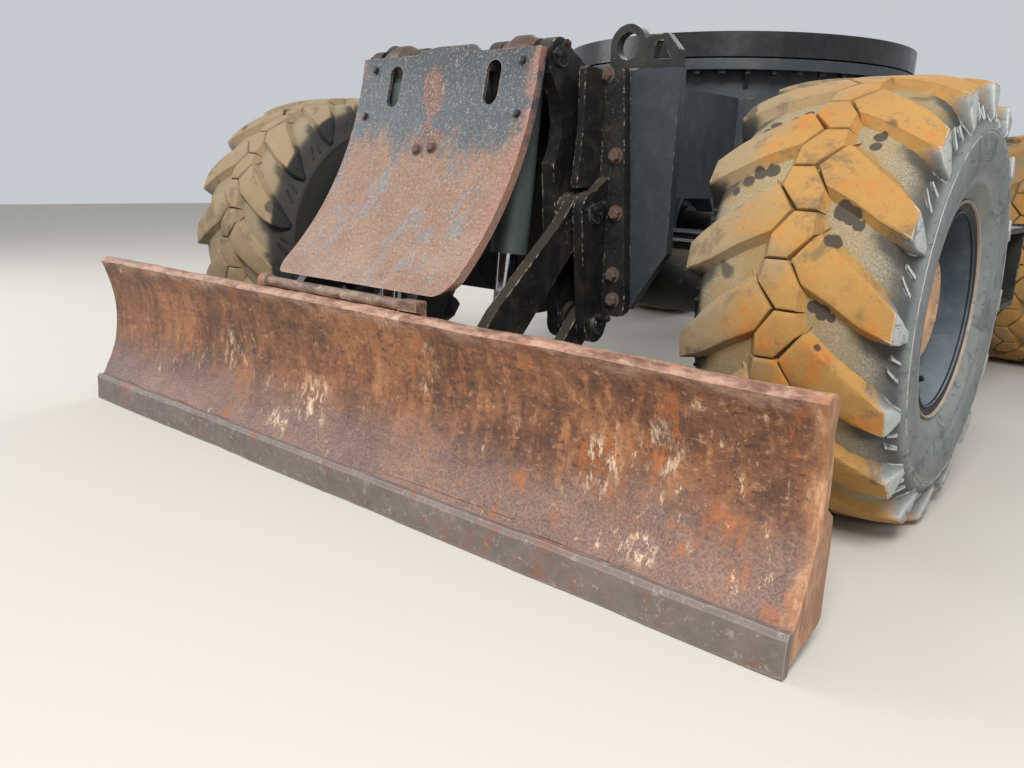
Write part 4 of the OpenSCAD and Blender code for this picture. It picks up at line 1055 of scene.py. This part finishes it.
def keeper(bm, end, s, lean):
    """Bar over a pin's end with the two bolts that hold it, and the pin's grease nipple."""
    out = Vector((s, 0, 0))
    turn = Matrix.Rotation(math.radians(lean), 4, "X")
    add_cyl(bm, end, out, PIN_R * 0.80, 0.003, 28, end_r=PIN_R * 0.74)
    add_cyl(bm, end + out * 0.003, out, 0.0045, 0.010, 10)
    add_box(bm, end + out * 0.004 + turn @ Vector((0, 0, PIN_R * KEEPER_UP)), KEEPER_SIZE, turn)
    for along_bar in (KEEPER_BOLT_Y, -KEEPER_BOLT_Y):
        foot = end + out * KEEPER_SIZE[0] + turn @ Vector((0, along_bar, PIN_R * KEEPER_UP))
        add_bolt(bm, foot, out, 0.008)


def make_keepers():
    for body, ends in PINS.items():
        bm = bmesh.new()
        for x, y, z, lean in ends:
            for s in (-1, 1):
                keeper(bm, at(s * x, y, z), s, lean)
        finish_mesh(bm, f"{body}_pin_keepers", BOLT_DARK, body)


make_keepers()

# Bolts under the slewing ring and on the axles' differential housings

SLEW_BOLTS = 48
SLEW_BOLT_R = 0.672
SLEW_BOLT_Z = 1.212
DIFF_BOLTS = 10
DIFF_CIRCLE_R = 88
# By face: way that it looks, and millimetres from the axle to it
DIFF_FACES = {"front": (-1, 130), "back": (1, 115)}
AXLE_BODIES = {"front": "steer_axle", "rear": "root"}


def make_slew_bolts():
    centre = at(0, SLEW_Y, 0)
    places = []
    for t in turns(SLEW_BOLTS):
        offset = Vector((SLEW_BOLT_R * math.cos(t), SLEW_BOLT_R * math.sin(t), SLEW_BOLT_Z))
        places.append((centre + offset, DOWN))
    bolts("slew_root_bolts", places, 0.0145, "root", BOLT_DARK, h=0.013)


def make_diff_bolts():
    for end, y in AXLES.items():
        for face, (sign, reach) in DIFF_FACES.items():
            axis = Vector((0, sign, 0))
            places = []
            for t in turns(DIFF_BOLTS):
                x = DIFF_CIRCLE_R * math.cos(t)
                z = AXLE_Z + DIFF_CIRCLE_R * math.sin(t)
                places.append((at(x, y + sign * reach, z), axis))
            bolts(f"diff_bolts_{end}_{face}", places, 0.009, AXLE_BODIES[end], BOLT_DARK)


make_slew_bolts()
make_diff_bolts()

# Side boxes: hinges and latch on each raised panel, in millimetres

PANEL_FACE_X = 896
HINGES_Y = (2060, 2460)
HINGE_PIN_Z = 1034
HINGE_LEAF_Z = 1016
LATCH_Y = 2260
LATCH_Z = 760


def make_box_fittings():
    for side, s in SIDES.items():
        bm = bmesh.new()
        out = Vector((s, 0, 0))
        for y in HINGES_Y:
            add_cyl(bm, at(s * PANEL_FACE_X, y - 25, HINGE_PIN_Z), BACK, 0.010, 0.050, 16)
            add_box(bm, at(s * PANEL_FACE_X, y, HINGE_LEAF_Z), (0.006, 0.046, 0.032))
        add_cyl(bm, at(s * PANEL_FACE_X, LATCH_Y, LATCH_Z), out, 0.019, 0.008, 28)
        add_box(bm, at(s * (PANEL_FACE_X + 10), LATCH_Y, LATCH_Z), (0.008, 0.012, 0.034))
        finish_mesh(bm, f"door_fittings_{side}", BOLT_DARK, "root")


make_box_fittings()

# Cover plates with their bolts on the chassis

COVER_T = 0.006
COVER_BEVEL = 0.002
COVER_BOLT_R = 0.010


def cover(name, centre, width, length, normal, spread):
    """Cover plate, its size in millimetres, with eight bolts that stand at a share of its size."""
    across = Vector((width / 1000, 0, 0))
    down = Vector((0, length / 1000, 0)) if normal == UP else Vector((0, 0, length / 1000))
    foot = at(*centre)
    plate = bmesh.new()
    add_box(plate, foot + normal * COVER_T / 2, across + down + normal * COVER_T)
    bmesh.ops.bevel(plate, geom=plate.edges[:], offset=COVER_BEVEL, segments=1, affect="EDGES")
    finish_mesh(plate, name, MATERIALS["chassis_grey"], "root")
    places = []
    for a in (-1, 0, 1):
        for b in (-1, 0, 1):
            if a or b:
                offset = (across * a + down * b) * spread / 2
                places.append((foot + normal * COVER_T + offset, normal))
    bolts(f"{name}_bolts", places, COVER_BOLT_R, "root", BOLT_DARK)


cover("top_cover_rear", (0, 3500, 1120), 560, 620, UP, 0.90)
cover("top_cover_front", (0, 1180, 1120), 380, 520, UP, 0.88)
cover("tail_cover", (0, 4010, 930), 520, 220, BACK, 0.88)

# Camera

CAM_POS = Vector((1.713, -1.2954 - EDGE_OUT, 0.8427))
YAW = math.radians(-39.4)
PITCH = math.radians(-14.3)
ROLL = math.radians(2.0)
FOCAL_PX = 838.2
IMAGE_W = 1024
SENSOR_W = 36.0


def make_camera():
    view = Vector((math.sin(YAW) * math.cos(PITCH), math.cos(YAW) * math.cos(PITCH), math.sin(PITCH)))
    level = view.cross(UP).normalized()
    upright = level.cross(view)
    right = math.cos(ROLL) * level + math.sin(ROLL) * upright
    top = -math.sin(ROLL) * level + math.cos(ROLL) * upright
    camera = bpy.data.objects.new("camera", bpy.data.cameras.new("camera"))
    bpy.context.scene.collection.objects.link(camera)
    camera.data.sensor_width = SENSOR_W
    camera.data.lens = FOCAL_PX / IMAGE_W * SENSOR_W
    camera.data.clip_start = 0.05
    basis = Matrix((right, top, -view)).transposed().to_4x4()
    camera.matrix_world = Matrix.Translation(CAM_POS) @ basis
    bpy.context.scene.camera = camera


make_camera()
bpy.context.scene.view_settings.view_transform = "Standard"

# Light and floor

# Name, place, target, size, power and colour
LIGHTS = [
    ("key", (2.6, -5.0, 4.4), (0.0, -1.2, 0.4), 2.0, 360, (1.0, 0.985, 0.96)),
    ("left", (-4.8, -3.4, 3.2), (0.0, -1.0, 0.5), 3.0, 150, (0.95, 0.98, 1.0)),
    ("back", (-1.5, 5.5, 4.5), (0.0, 0.5, 0.6), 3.5, 220, (1, 1, 1)),
]
SKY_COLOUR = (0.92, 0.95, 1.0, 1.0)
SKY_POWER = 0.62
FLOOR_HALF = 14


def make_lights():
    for name, place, target, size, power, colour in LIGHTS:
        lamp = bpy.data.lights.new(name, "AREA")
        lamp.energy = power
        lamp.size = size
        lamp.color = colour
        obj = bpy.data.objects.new(name, lamp)
        obj.location = place
        obj.rotation_euler = (Vector(target) - Vector(place)).to_track_quat("-Z", "Y").to_euler()
        bpy.context.scene.collection.objects.link(obj)


def make_sky():
    world = bpy.data.worlds.new("world")
    world.use_nodes = True
    set_inputs(world.node_tree.nodes["Background"], {"Color": SKY_COLOUR, "Strength": SKY_POWER})
    bpy.context.scene.world = world


def make_floor():
    corners = [(x * FLOOR_HALF, y * FLOOR_HALF, 0) for x, y in ((-1, -1), (1, -1), (1, 1), (-1, 1))]
    mesh = bpy.data.meshes.new("floor")
    mesh.from_pydata(corners, [], [(0, 1, 2, 3)])
    floor = bpy.data.objects.new("floor", mesh)
    bpy.context.scene.collection.objects.link(floor)
    pale = Shader("floor", rough=0.9)
    pale.coat = "c3bfb7"
    mesh.materials.append(pale.done())


make_lights()
make_sky()
make_floor()
